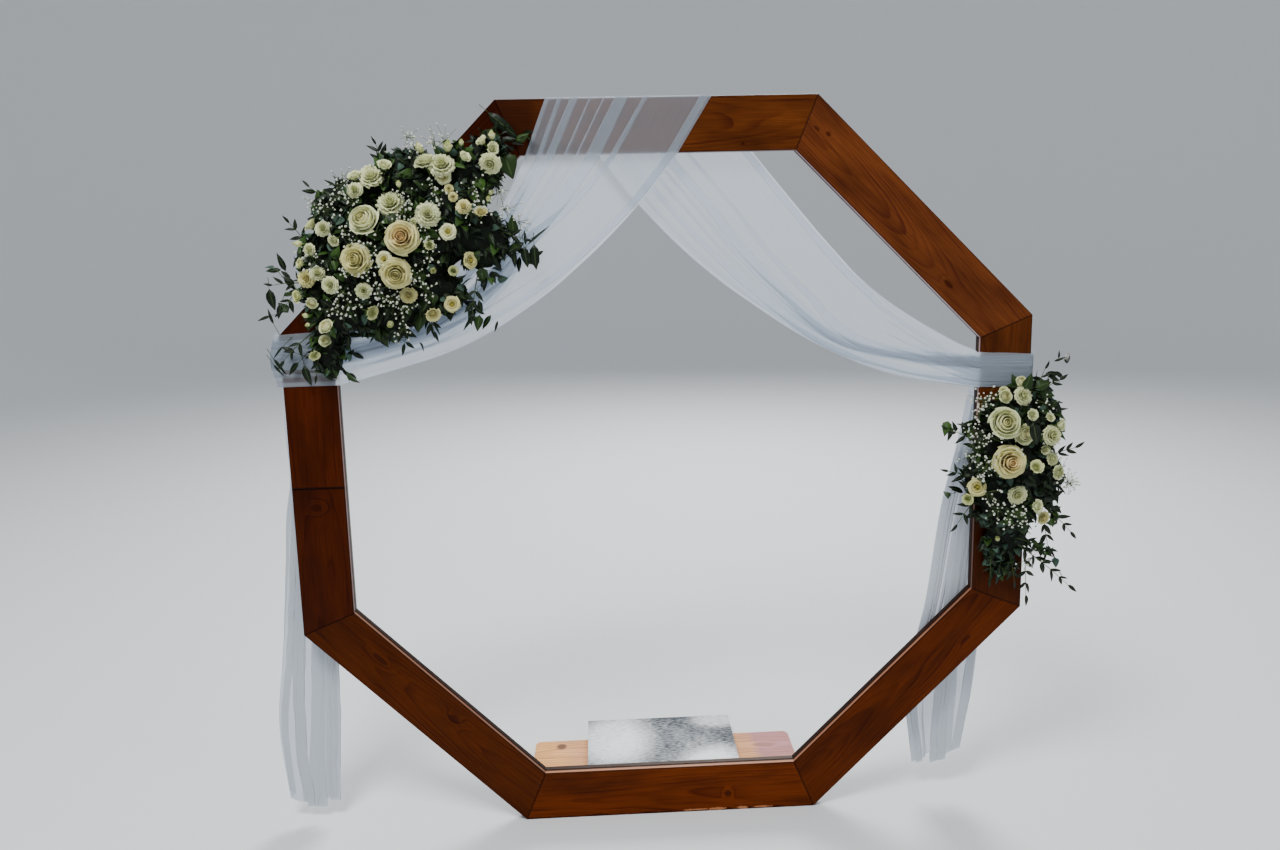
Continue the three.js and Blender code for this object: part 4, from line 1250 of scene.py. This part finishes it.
def add_bloom(bunch, kind, foot, axis, radius, chance):
    """A bloom with its petals, heart, calyx and a length of stem"""
    whorls, form_name, finish = KINDS[kind]
    form = bunch.forms[form_name]
    spin = chance.uniform(0, 2 * math.pi)
    tone = chance.uniform(-0.12, 0.12)
    lists = WHORLS[whorls]
    for number, (count, inner, rim, height, spread, curl, close, frill) in enumerate(lists):
        start = number * GROWTH_TURN
        share = number / (len(lists) - 1)
        for k in range(count):
            turn = start + 2 * math.pi * (k + chance.uniform(-0.12, 0.12)) / count
            loose = chance.uniform(0.95, 1.05)
            points = cup_petal(form, turn, math.radians(spread), inner, rim * loose, height * loose, curl,
                               close, frill, 0.012 if whorls in ("rose", "globe") else 0.016)
            places = np.stack([np.full(len(points), share + tone), form[0][:, 1], form[0][:, 0]], 1)
            bunch.add(stand(points, foot, axis, radius, spin), form[1], finish, places)
    if whorls == "open":
        ball, faces = bunch.forms["ball"]
        for k in range(7):
            angle = k * GROWTH_TURN
            out = 0.11 * math.sqrt(k)
            points = ball * (0.09, 0.09, 0.14) + (out * math.cos(angle), out * math.sin(angle), 0.42)
            placed = stand(points, foot, axis, radius, spin)
            bunch.add(placed, faces, HEART_FINISH, (chance.random(), 0.5, 0.5))
    leaf = bunch.forms["leaf"]
    for k in range(5):
        turn = spin + 2 * math.pi * k / 5
        out = axis.orthogonal().normalized()
        out.rotate(Matrix.Rotation(turn, 3, axis))
        heading = (out + axis * (0.9 if whorls == "bud" else 0.25)).normalized()
        points = leaf_points(leaf, foot, heading, out - axis, radius * 0.62, radius * 0.24, 0.1)
        bunch.add(points, leaf[1], STEM_FINISH)
    stem = [np.array(foot) - np.array(axis) * step * radius for step in (-0.1, 0.15, 0.5, 0.8, 1.1)]
    bunch.add_rod(stem, [radius * share for share in (0.20, 0.17, 0.07, 0.06, 0.06)], STEM_FINISH)


def leaf_points(form, foot, heading, facing, length, width, bend, widest=0.76, fold=0.16, thickness=0.0006):
    """A leaf from its foot along a heading, its upper face towards a direction, bent back towards its tip.
    widest is the power that sets where it is broadest: 0.76 near its middle, 0.5 near its foot."""
    up = facing - heading * facing.dot(heading)
    up = up.normalized() if up.length > 1e-6 else heading.orthogonal().normalized()
    side = heading.cross(up)

    def surface(across, along):
        inside = np.clip(along, 0, 1)
        outline = np.maximum(np.sin(math.pi * inside**widest) ** 0.9, 0.05)
        x = across * width / 2 * outline
        y = length * along
        z = fold * width * across**2 * outline - bend * length * along**2
        return np.stack([x, y, z], 1)
    points = shape_plate(form, surface, thickness)
    basis = np.array([side, heading, up])
    return np.array(foot) + points @ basis


def surface_of(node):
    """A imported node's surface for ray casts, with its triangles, their areas and their normals"""
    mesh = NODES[node].data
    points = points_of(mesh)
    triangles = np.array([face.vertices for face in mesh.polygons])
    corners = points[triangles]
    cross = np.cross(corners[:, 1] - corners[:, 0], corners[:, 2] - corners[:, 0])
    area = np.linalg.norm(cross, axis=1) / 2
    normals = cross / (2 * area[:, None] + 1e-12)
    tree = BVHTree.FromPolygons([Vector(p) for p in points], [tuple(t) for t in triangles])
    return tree, corners, area, normals


def scatter(surface, count, chance, behind=0.35):
    """Places spread over a surface by area, with the normal at each. Fewer of them face backwards."""
    _, corners, area, normals = surface
    weight = area * np.where(normals[:, 1] > 0.5, behind, 1.0)
    picked = chance.choice(len(area), size=count, p=weight / weight.sum())
    shares = chance.random((count, 2))
    over = shares.sum(1) > 1
    shares[over] = 1 - shares[over]
    spread = corners[picked]
    points = (spread[:, 0] + (spread[:, 1] - spread[:, 0]) * shares[:, :1]
              + (spread[:, 2] - spread[:, 0]) * shares[:, 1:])
    return [(Vector(p), Vector(n)) for p, n in zip(points, normals[picked])]


def away_from(spine, point):
    """The direction in the ring's plane from the nearest place of a spine to a point"""
    first, second = (Vector((x * MM, 0, z * MM)) for x, z in spine)
    flat = Vector((point.x, 0, point.z))
    run = second - first
    share = min(1, max(0, (flat - first).dot(run) / run.length_squared))
    away = flat - (first + run * share)
    return away.normalized() if away.length > 1e-6 else Vector((0, 0, 1))


def seat(surface, x, z, plane):
    """Where the line from the camera through a place on a plane meets a surface, with the normal there"""
    target = Vector((x, plane, z)) * MM
    line = (target - CAMERA_PLACE).normalized()
    point, normal, _, _ = surface[0].ray_cast(CAMERA_PLACE, line)
    if point is None:
        point, normal, _, _ = surface[0].find_nearest(target)
    return point, normal


def random_direction(chance):
    return Vector(chance.normal(size=3)).normalized()


# Kinds of leaf: how often, length, width, bend, where it is broadest, and finish in the list of leaf finishes
LEAF_KINDS = (
    (0.46, (28, 48), 0.34, 0.16, 0.76, 0),
    (0.22, (26, 46), 0.60, 0.12, 0.60, 1),
    (0.12, (20, 32), 0.74, 0.10, 0.62, 2),
    (0.20, (22, 38), 0.22, 0.25, 0.74, 0),
)
LEAF_STEM = 3


def add_greenery(bunch, surface, spine, count, chance):
    """Leaves all over a packed mass of foliage, growing away from its spine, denser where it faces
    forwards"""
    shares = np.array([kind[0] for kind in LEAF_KINDS])
    for point, normal in scatter(surface, count, chance):
        kind = LEAF_KINDS[chance.choice(len(LEAF_KINDS), p=shares / shares.sum())]
        _, (short, long), slim, bend, widest, finish = kind
        away = away_from(spine, point)
        heading = (away * 0.42 + normal * 0.3 + random_direction(chance) * 0.68 + Vector((0, -0.12, -0.18)))
        heading.normalize()
        facing = normal * 0.7 + Vector((0, -0.7, 0.45)) + random_direction(chance) * 0.5
        length = chance.uniform(short, long) * MM
        foot = point - normal * 0.016 - heading * length * 0.35
        bunch.add_leaf(foot, heading, facing, length, length * slim, bend, widest, finish, chance.random())


def add_sprig(bunch, x, y, z, degrees, length, chance):
    """A ruscus sprig: an arching stem with pairs of leaves and one at its tip"""
    foot = Vector((x, y, z)) * MM
    heading = heading_in_plane(degrees, 0.18)
    length = length * MM
    inside = foot - heading * 0.05 + Vector((0, 0.012, 0))
    droop = Vector((0, 0, -0.14)) * length
    line = [inside] + [foot + heading * length * s + droop * s * s for s in np.linspace(0, 1, 5)]
    bunch.add_rod(line, np.linspace(0.0016, 0.0007, len(line)), LEAF_STEM)
    pairs = max(2, int(length / 0.026))
    for number in range(pairs + 1):
        share = (number + 0.25) / (pairs + 0.25)
        place = foot + heading * length * share + droop * share * share
        for side in (0,) if number == pairs else (-1, 1):
            if side and chance.random() < 0.12:
                continue
            turn = side * math.radians(chance.uniform(28, 58))
            own = heading.copy()
            own.rotate(Matrix.Rotation(turn, 3, Vector((0, 1, 0))))
            own = (own + random_direction(chance) * 0.22 + Vector((0, 0, -0.10))).normalized()
            size = chance.uniform(0.028, 0.044) * (1.0 - 0.25 * share)
            facing = Vector((0, -1, 0.3)) + random_direction(chance) * 0.45
            width = size * chance.uniform(0.26, 0.36)
            bunch.add_leaf(place, own, facing, size, width, 0.18, 0.76, 0, chance.uniform(0, 0.6))


def add_single_leaf(bunch, x, y, z, degrees, length, slim, chance):
    """A leaf by itself on a short stalk: slim from ruscus or broad and leathery from salal"""
    foot = Vector((x, y, z)) * MM
    heading = heading_in_plane(degrees, 0.1)
    length = length * MM
    facing = Vector((0, -1, 0.35)) + random_direction(chance) * 0.25
    widest, finish = (0.55, 1) if slim > 0.5 else (0.74, 0)
    bunch.add_leaf(foot, heading, facing, length, length * slim, 0.12, widest, finish, 0.35)
    stalk = [foot - heading * 0.03 * (1 - s) + Vector((0, 0.01 * (1 - s), 0)) for s in (0, 0.5, 1)]
    bunch.add_rod(stalk, (0.0010, 0.0008, 0.0006), LEAF_STEM)


def seen_at(point, plane):
    """Where the line from the camera through a point meets a plane, in x and z"""
    share = (plane * MM - CAMERA_PLACE.y) / (point.y - CAMERA_PLACE.y)
    return (CAMERA_PLACE + (point - CAMERA_PLACE) * share).xz


def add_breath(bunch, point, normal, chance, blooms=(), plane=0):
    """A cluster of baby's breath: tiny double flowers on wiry branching stalks, beside the blooms of the
    plane"""
    ball, faces = bunch.forms["ball"]
    heading = (normal + Vector((0, -0.5, 0.1)) + random_direction(chance) * 0.3).normalized()
    root = point - normal * 0.01
    fork = root + heading * 0.028
    bunch.add_rod((root, fork), (0.0008, 0.0005), 1)
    for _ in range(chance.integers(13, 21)):
        end = fork + heading * chance.uniform(0, 0.020)
        end += random_direction(chance) * chance.uniform(0.008, 0.044)
        if any((seen_at(end, plane) - middle).length < 0.9 * radius for middle, radius in blooms):
            continue
        bunch.add_rod((fork, end), (0.0005, 0.0004), 1)
        size = chance.uniform(0.0016, 0.0035)
        ruffle = ball * (1 + 0.25 * np.sin(ball[:, :1] * 5 + ball[:, 1:2] * 7))
        bunch.add(np.array(end) + ruffle * size, faces, 0, (chance.random(), 0.5, 0.5))


def petal_finish(name, heart, rim, foot, sheer=0.18):
    """Petals: soft and slightly waxy, lit from behind as well as from the front. The first number of a place
    runs from the heart of the bloom to its outside, the second from a petal's foot to its rim."""
    material, add = new_material(name)
    place = add("Attribute", attribute_name="place")
    axes = add("SeparateXYZ", {0: place.outputs["Vector"]})
    outward = add("MapRange", {"Value": axes.outputs["X"], "From Min": 0.05, "From Max": 0.75})
    shade = add("Mix", {"Factor": outward, "A": heart, "B": rim}, data_type="RGBA")
    # Towards each petal's foot the colour goes to the foot colour: painted shade deep in the bloom
    at_foot = add("MapRange",
                  {"Value": axes.outputs["Y"], "From Min": 0.15, "From Max": 0.75, "To Min": 0.85,
                   "To Max": 0})
    mixed = add("Mix", {"Factor": at_foot, "A": shade, "B": foot}, data_type="RGBA")
    vein = stretched_noise(add, place.outputs["Vector"], (3, 2, 34), 2)
    veined = shaded_by(add, mixed, vein, 0.86, 1.1, 0, 1)
    bump = add("Bump", {"Strength": 0.25, "Distance": 0.0004, "Height": vein})
    surface = {"Roughness": 0.58, "Specular IOR Level": 0.35, "Sheen Weight": 0.15, "Normal": bump}
    shown = lit_through(add, sheer, veined, surface)
    add("OutputMaterial", {"Surface": shown})
    return material


def leaf_finish(name, dark, bright, gloss):
    """Leaves: a waxy upper side with a paler midrib and fine side veins. The third number of a place is the
    leaf's own tone."""
    material, add = new_material(name)
    place = add("Attribute", attribute_name="place")
    axes = add("SeparateXYZ", {0: place.outputs["Vector"]})
    tone = add("MapRange", {"Value": axes.outputs["Z"], "To Min": 0, "To Max": 1})
    shade = add("Mix", {"Factor": tone, "A": dark, "B": bright}, data_type="RGBA")
    side = add("Math", {0: axes.outputs["X"]}, operation="ABSOLUTE")
    rib = add("MapRange", {"Value": side, "From Min": 0.02, "From Max": 0.16, "To Min": 0.4, "To Max": 0})
    ribbed = add("Mix", {"Factor": rib, "A": shade, "B": linear("#5d7440")}, data_type="RGBA")
    slant = add("Math", {0: side, 1: -0.35, 2: axes.outputs["Y"]}, operation="MULTIPLY_ADD")
    wave = add("Math", {0: slant, 1: 58}, operation="MULTIPLY")
    veins = add("Math", {0: wave}, operation="SINE")
    bump = add("Bump", {"Strength": 0.3, "Distance": 0.0004, "Height": veins})
    shown = lit_through(add, 0.16, ribbed, {"Roughness": gloss, "Specular IOR Level": 0.25, "Normal": bump})
    add("OutputMaterial", {"Surface": shown})
    return material


def plain_finish(name, first, second, scale, roughness):
    """A mottled finish for stems, flower hearts, baby's breath and the shaded inner foliage"""
    material, add = new_material(name)
    place = add("TexCoord").outputs["Object"]
    mottle = add("TexNoise", {"Vector": place, "Scale": scale, "Detail": 3})
    level = add("MapRange", {"Value": mottle, "From Min": 0.35, "From Max": 0.65})
    colour = add("Mix", {"Factor": level, "A": first, "B": second}, data_type="RGBA")
    bump = add("Bump", {"Strength": 0.5, "Distance": 0.001, "Height": mottle})
    shader = add("BsdfPrincipled",
                 {"Base Color": colour, "Roughness": roughness, "Specular IOR Level": 0.2, "Normal": bump})
    add("OutputMaterial", {"Surface": shader})
    return material


def bloom_finishes():
    """The finishes of all blooms, in the order that KINDS counts them"""
    flowers = bpy.context.scene.arch_flowers
    cream, heart, peach, white, green = colours_of(flowers, "cream", "heart", "peach", "white", "green_white")
    return [
        # The third colour of each petal finish is its foot colour, painted shade deep in the bloom
        find_or_make("white_rose_petal", petal_finish, cream, white, green),
        find_or_make("cream_rose_petal", petal_finish, heart, cream, linear("#b59a48")),
        find_or_make("peach_rose_petal", petal_finish, peach, cream, linear("#d2913c")),
        find_or_make("carnation_petal", petal_finish, green, white, green, 0.22),
        find_or_make("greenish_petal", petal_finish, linear("#a9b55a"), linear("#dfe3a4"), green, 0.22),
        find_or_make("flower_heart", plain_finish, linear("#6f7a2a"), linear("#c9b34a"), 400, 0.7),
        find_or_make("flower_stem", plain_finish, linear("#3f5a28"), linear("#5c7a3a"), 200, 0.55),
    ]


def leaf_finishes():
    """The finishes of the leaves and their stems, in the order that LEAF_KINDS counts them"""
    dark, plain, bright = colours_of(bpy.context.scene.arch_flowers, "leaf_dark", "leaf", "leaf_bright")
    return [
        find_or_make("ruscus_leaf", leaf_finish, dark, plain, 0.34),
        find_or_make("salal_leaf", leaf_finish, dark, bright, 0.42),
        find_or_make("eucalyptus_leaf", leaf_finish, linear("#25382f"), linear("#4d695a"), 0.6),
        find_or_make("leaf_stem", plain_finish, linear("#2c3d1c"), linear("#4a5a2a"), 200, 0.55),
    ]


def inner_foliage(node):
    """The shaded mass behind the leaves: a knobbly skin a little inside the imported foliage"""
    deselect()
    source = NODES[node]
    piece = bpy.data.objects.new(f"{node}_heart", source.data.copy())
    bpy.context.scene.collection.objects.link(piece)
    bpy.context.view_layer.objects.active = piece
    piece.select_set(True)
    bpy.ops.object.mode_set(mode="EDIT")
    bpy.ops.mesh.select_all(action="SELECT")
    bpy.ops.mesh.remove_doubles(threshold=1e-5)
    bpy.ops.object.mode_set(mode="OBJECT")
    skin = piece.modifiers.new("skin", "REMESH")
    skin.mode = "VOXEL"
    skin.voxel_size = 0.013
    bpy.ops.object.modifier_apply(modifier=skin.name)
    normals = np.empty(len(piece.data.vertices) * 3, np.float32)
    piece.data.vertices.foreach_get("normal", normals)
    normals = normals.reshape(-1, 3)
    points = points_of(piece.data)
    bumps = np.array([noise.noise(Vector(p) * 55) + 0.6 * noise.noise(Vector(p) * 120) for p in points])
    faces = [tuple(face.vertices) for face in piece.data.polygons]
    skin_tree = BVHTree.FromPolygons([Vector(p) for p in points], faces)
    depths = [skin_tree.ray_cast(Vector(p - n * 0.0005), Vector(-n))[3] or 1 for p, n in zip(points, normals)]
    sunk = points - normals * np.minimum(0.020 - 0.010 * bumps, 0.47 * np.array(depths))[:, None]
    sunk[:, 1] = np.minimum(sunk[:, 1], points[:, 1].max() - 0.002)
    piece.data.vertices.foreach_set("co", sunk.astype(np.float32).ravel())
    piece.data.update()
    bpy.ops.object.shade_smooth()
    piece.data.materials.clear()
    # Near black: painted shade inside the arrangement
    shaded = find_or_make("shaded_foliage", plain_finish, linear("#050904"), linear("#0d160a"), 90, 0.8)
    piece.data.materials.append(shaded)
    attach(piece, "root")
    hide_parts(node)


class ARCH_OT_large_blooms(bpy.types.Operator):
    """Make the roses and carnations petal by petal"""

    bl_idname = "arch.large_blooms"
    bl_label = "Roses and carnations"

    def execute(self, context):
        forms = flower_forms()
        finishes = bloom_finishes()
        for number, (node, (radius, up, side, kind)) in enumerate(LARGE_BLOOMS.items()):
            chance = np.random.default_rng(100 + number)
            low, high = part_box(node)
            axis = bloom_axis(up, side)
            foot = (low + high) / 2 - axis * (0.54 * radius * MM)
            bunch = Bunch(forms)
            add_bloom(bunch, kind, foot, axis, radius * MM, chance)
            bunch.build(f"{node}_petals", finishes, (node,))
        return {"FINISHED"}


def arrange(side, plane, blooms, breaths, spine, sprigs, single, leaves, seed):
    """One arrangement: its small blooms, leaves, sprigs and baby's breath"""
    node = f"{side}_foliage"
    forms = flower_forms()
    chance = np.random.default_rng(seed)
    surface = surface_of(node)
    inner_foliage(node)

    small = Bunch(forms)
    for kind, x, z, radius, up, sideways in blooms:
        point, _ = seat(surface, x, z, plane)
        if over_ring(point):
            point.y = min(point.y, FRONT_FACE - 0.03)
        axis = (bloom_axis(up, sideways) + random_direction(chance) * 0.08).normalized()
        add_bloom(small, kind, point - axis * radius * 0.25 * MM, axis, radius * MM, chance)
    small.build(f"{side}_small_blooms", bloom_finishes())

    green = Bunch(forms)
    add_greenery(green, surface, spine, leaves, chance)
    for sprig in sprigs:
        add_sprig(green, *sprig, chance)
    for leaf in single:
        add_single_leaf(green, *leaf, chance)
    green.build(f"{side}_leaves", leaf_finishes(), (node,))

    white = Bunch(forms)
    shown = [(Vector((x, z)) * MM, radius * MM) for _, x, z, radius, _, _ in blooms]
    for name, (radius, *_) in LARGE_BLOOMS.items():
        if name.startswith(side):
            low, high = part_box(name)
            shown.append((seen_at((low + high) / 2, plane), radius * MM))
    for x, z in breaths:
        point, normal = seat(surface, x, z, plane)
        add_breath(white, point, normal, chance, shown, plane)
    for point, normal in scatter(surface, len(breaths), chance, 1.0):
        if normal.y > 0.2 and not over_ring(point):
            add_breath(white, point, normal, chance)
    petals = find_or_make("babys_breath", plain_finish, linear("#dfe2d2"), linear("#b9bfa8"), 500, 0.7)
    white.build(f"{side}_babys_breath", [petals, leaf_finishes()[LEAF_STEM]])


class ARCH_OT_left_arrangement(bpy.types.Operator):
    """Fill the large arrangement on the upper left"""

    bl_idname = "arch.left_arrangement"
    bl_label = "Left arrangement"

    def execute(self, context):
        arrange("left", LEFT_PLANE, LEFT_BLOOMS, LEFT_BREATH, LEFT_SPINE, LEFT_SPRIGS, LEFT_LEAVES, 1150, 7)
        return {"FINISHED"}


class ARCH_OT_right_arrangement(bpy.types.Operator):
    """Fill the smaller arrangement on the right post"""

    bl_idname = "arch.right_arrangement"
    bl_label = "Right arrangement"

    def execute(self, context):
        arrange("right", RIGHT_PLANE, RIGHT_BLOOMS, RIGHT_BREATH, RIGHT_SPINE, RIGHT_SPRIGS, RIGHT_LEAVES,
                620, 8)
        return {"FINISHED"}


# Stage and camera


class ARCH_OT_stage(bpy.types.Operator):
    """Set up the floor, the lights and the camera"""

    bl_idname = "arch.stage"
    bl_label = "Studio"

    def execute(self, context):
        settings = context.scene.arch_stage
        deselect()
        floor_radius = 9
        bpy.ops.mesh.primitive_circle_add(vertices=128, radius=floor_radius, fill_type="NGON")
        floor = bpy.context.object
        floor.name = "studio_floor"
        bpy.ops.object.mode_set(mode="EDIT")
        bpy.ops.mesh.select_all(action="SELECT")
        bpy.ops.mesh.region_to_loop()
        cove = 4.0
        lip = [(cove * math.sin(a), cove * (1 - math.cos(a))) for a in np.radians(np.linspace(0, 90, 13))]
        lip.append((cove, 8.0))
        for (out, up), (next_out, next_up) in zip(lip[:-1], lip[1:]):
            bpy.ops.mesh.extrude_edges_move(TRANSFORM_OT_translate={"value": (0, 0, next_up - up)})
            grow = (floor_radius + next_out) / (floor_radius + out)
            bpy.ops.transform.resize(value=(grow, grow, 1), center_override=(0, 0, 0))
        bpy.ops.object.mode_set(mode="OBJECT")
        bpy.ops.object.shade_smooth()
        material, add = new_material("studio_paper")
        mottle = add("TexNoise", {"Vector": add("TexCoord").outputs["Object"], "Scale": 40})
        rough = add("MapRange", {"Value": mottle, "To Min": 0.8, "To Max": 0.95})
        paper = add("BsdfPrincipled", {"Base Color": tuple(settings.floor), "Roughness": rough})
        add("OutputMaterial", {"Surface": paper})
        floor.data.materials.append(material)

        lights = (
            ("key_light", (-1.4, -2.4, 5.4), 1.6, 250),
            ("fill_light", (4.2, -3.4, 2.6), 2.4, 30),
            ("back_light", (0.8, 4.6, 4.4), 2.6, 360),
        )
        aim = Vector((0, 0, CENTRE_Z))
        for name, place, size, power in lights:
            bpy.ops.object.light_add(type="AREA", location=place)
            light = bpy.context.object
            light.name = name
            light.data.size = size
            light.data.energy = power * settings.light
            light.rotation_euler = (aim - Vector(place)).to_track_quat("-Z", "Y").to_euler()
        world = bpy.data.worlds.new("studio_air")
        context.scene.world = world
        world.use_nodes = True
        background = world.node_tree.nodes["Background"]
        background.inputs["Color"].default_value = linear("#dfe6ee")
        background.inputs["Strength"].default_value = 0.62 * settings.light

        # The camera stands 1.7 m above the ground and 2.5 m in front of the ring
        bpy.ops.object.camera_add(location=CAMERA_PLACE)
        camera = bpy.context.object
        camera.name = "photo_camera"
        camera.rotation_euler = Euler([math.radians(a) for a in (80.709, 1.304, -2.615)])
        camera.data.sensor_width = 36
        camera.data.lens = 27.056
        camera.data.shift_y = -0.043
        context.scene.camera = camera
        return {"FINISHED"}


class ARCH_PT_panel(bpy.types.Panel):
    """The arch's settings and steps"""

    bl_idname = "ARCH_PT_panel"
    bl_label = "Octagonal wedding arch"
    bl_space_type = "VIEW_3D"
    bl_region_type = "UI"
    bl_category = "Arch"

    def draw(self, context):
        for name, group in SETTINGS.items():
            box = self.layout.box()
            for key in group.__annotations__:
                box.prop(getattr(context.scene, name), key)
        for step in STEPS:
            self.layout.operator(step.bl_idname)


SETTINGS = {
    "arch_wood": ArchWoodSettings,
    "arch_stone": ArchStoneSettings,
    "arch_voile": ArchVoileSettings,
    "arch_flowers": ArchFlowerSettings,
    "arch_stage": ArchStageSettings,
}
STEPS = (ARCH_OT_ring_finish, ARCH_OT_base_finish, ARCH_OT_voile, ARCH_OT_large_blooms,
         ARCH_OT_left_arrangement, ARCH_OT_right_arrangement, ARCH_OT_stage)


def register():
    for group in (*SETTINGS.values(), *STEPS, ARCH_PT_panel):
        bpy.utils.register_class(group)
    for name, group in SETTINGS.items():
        setattr(bpy.types.Scene, name, bpy.props.PointerProperty(type=group))


def unregister():
    for name in SETTINGS:
        delattr(bpy.types.Scene, name)
    for group in reversed((*SETTINGS.values(), *STEPS, ARCH_PT_panel)):
        bpy.utils.unregister_class(group)


def main():
    register()
    for step in STEPS:
        area, name = step.bl_idname.split(".")
        getattr(getattr(bpy.ops, area), name)()


if __name__ == "__main__":
    main()
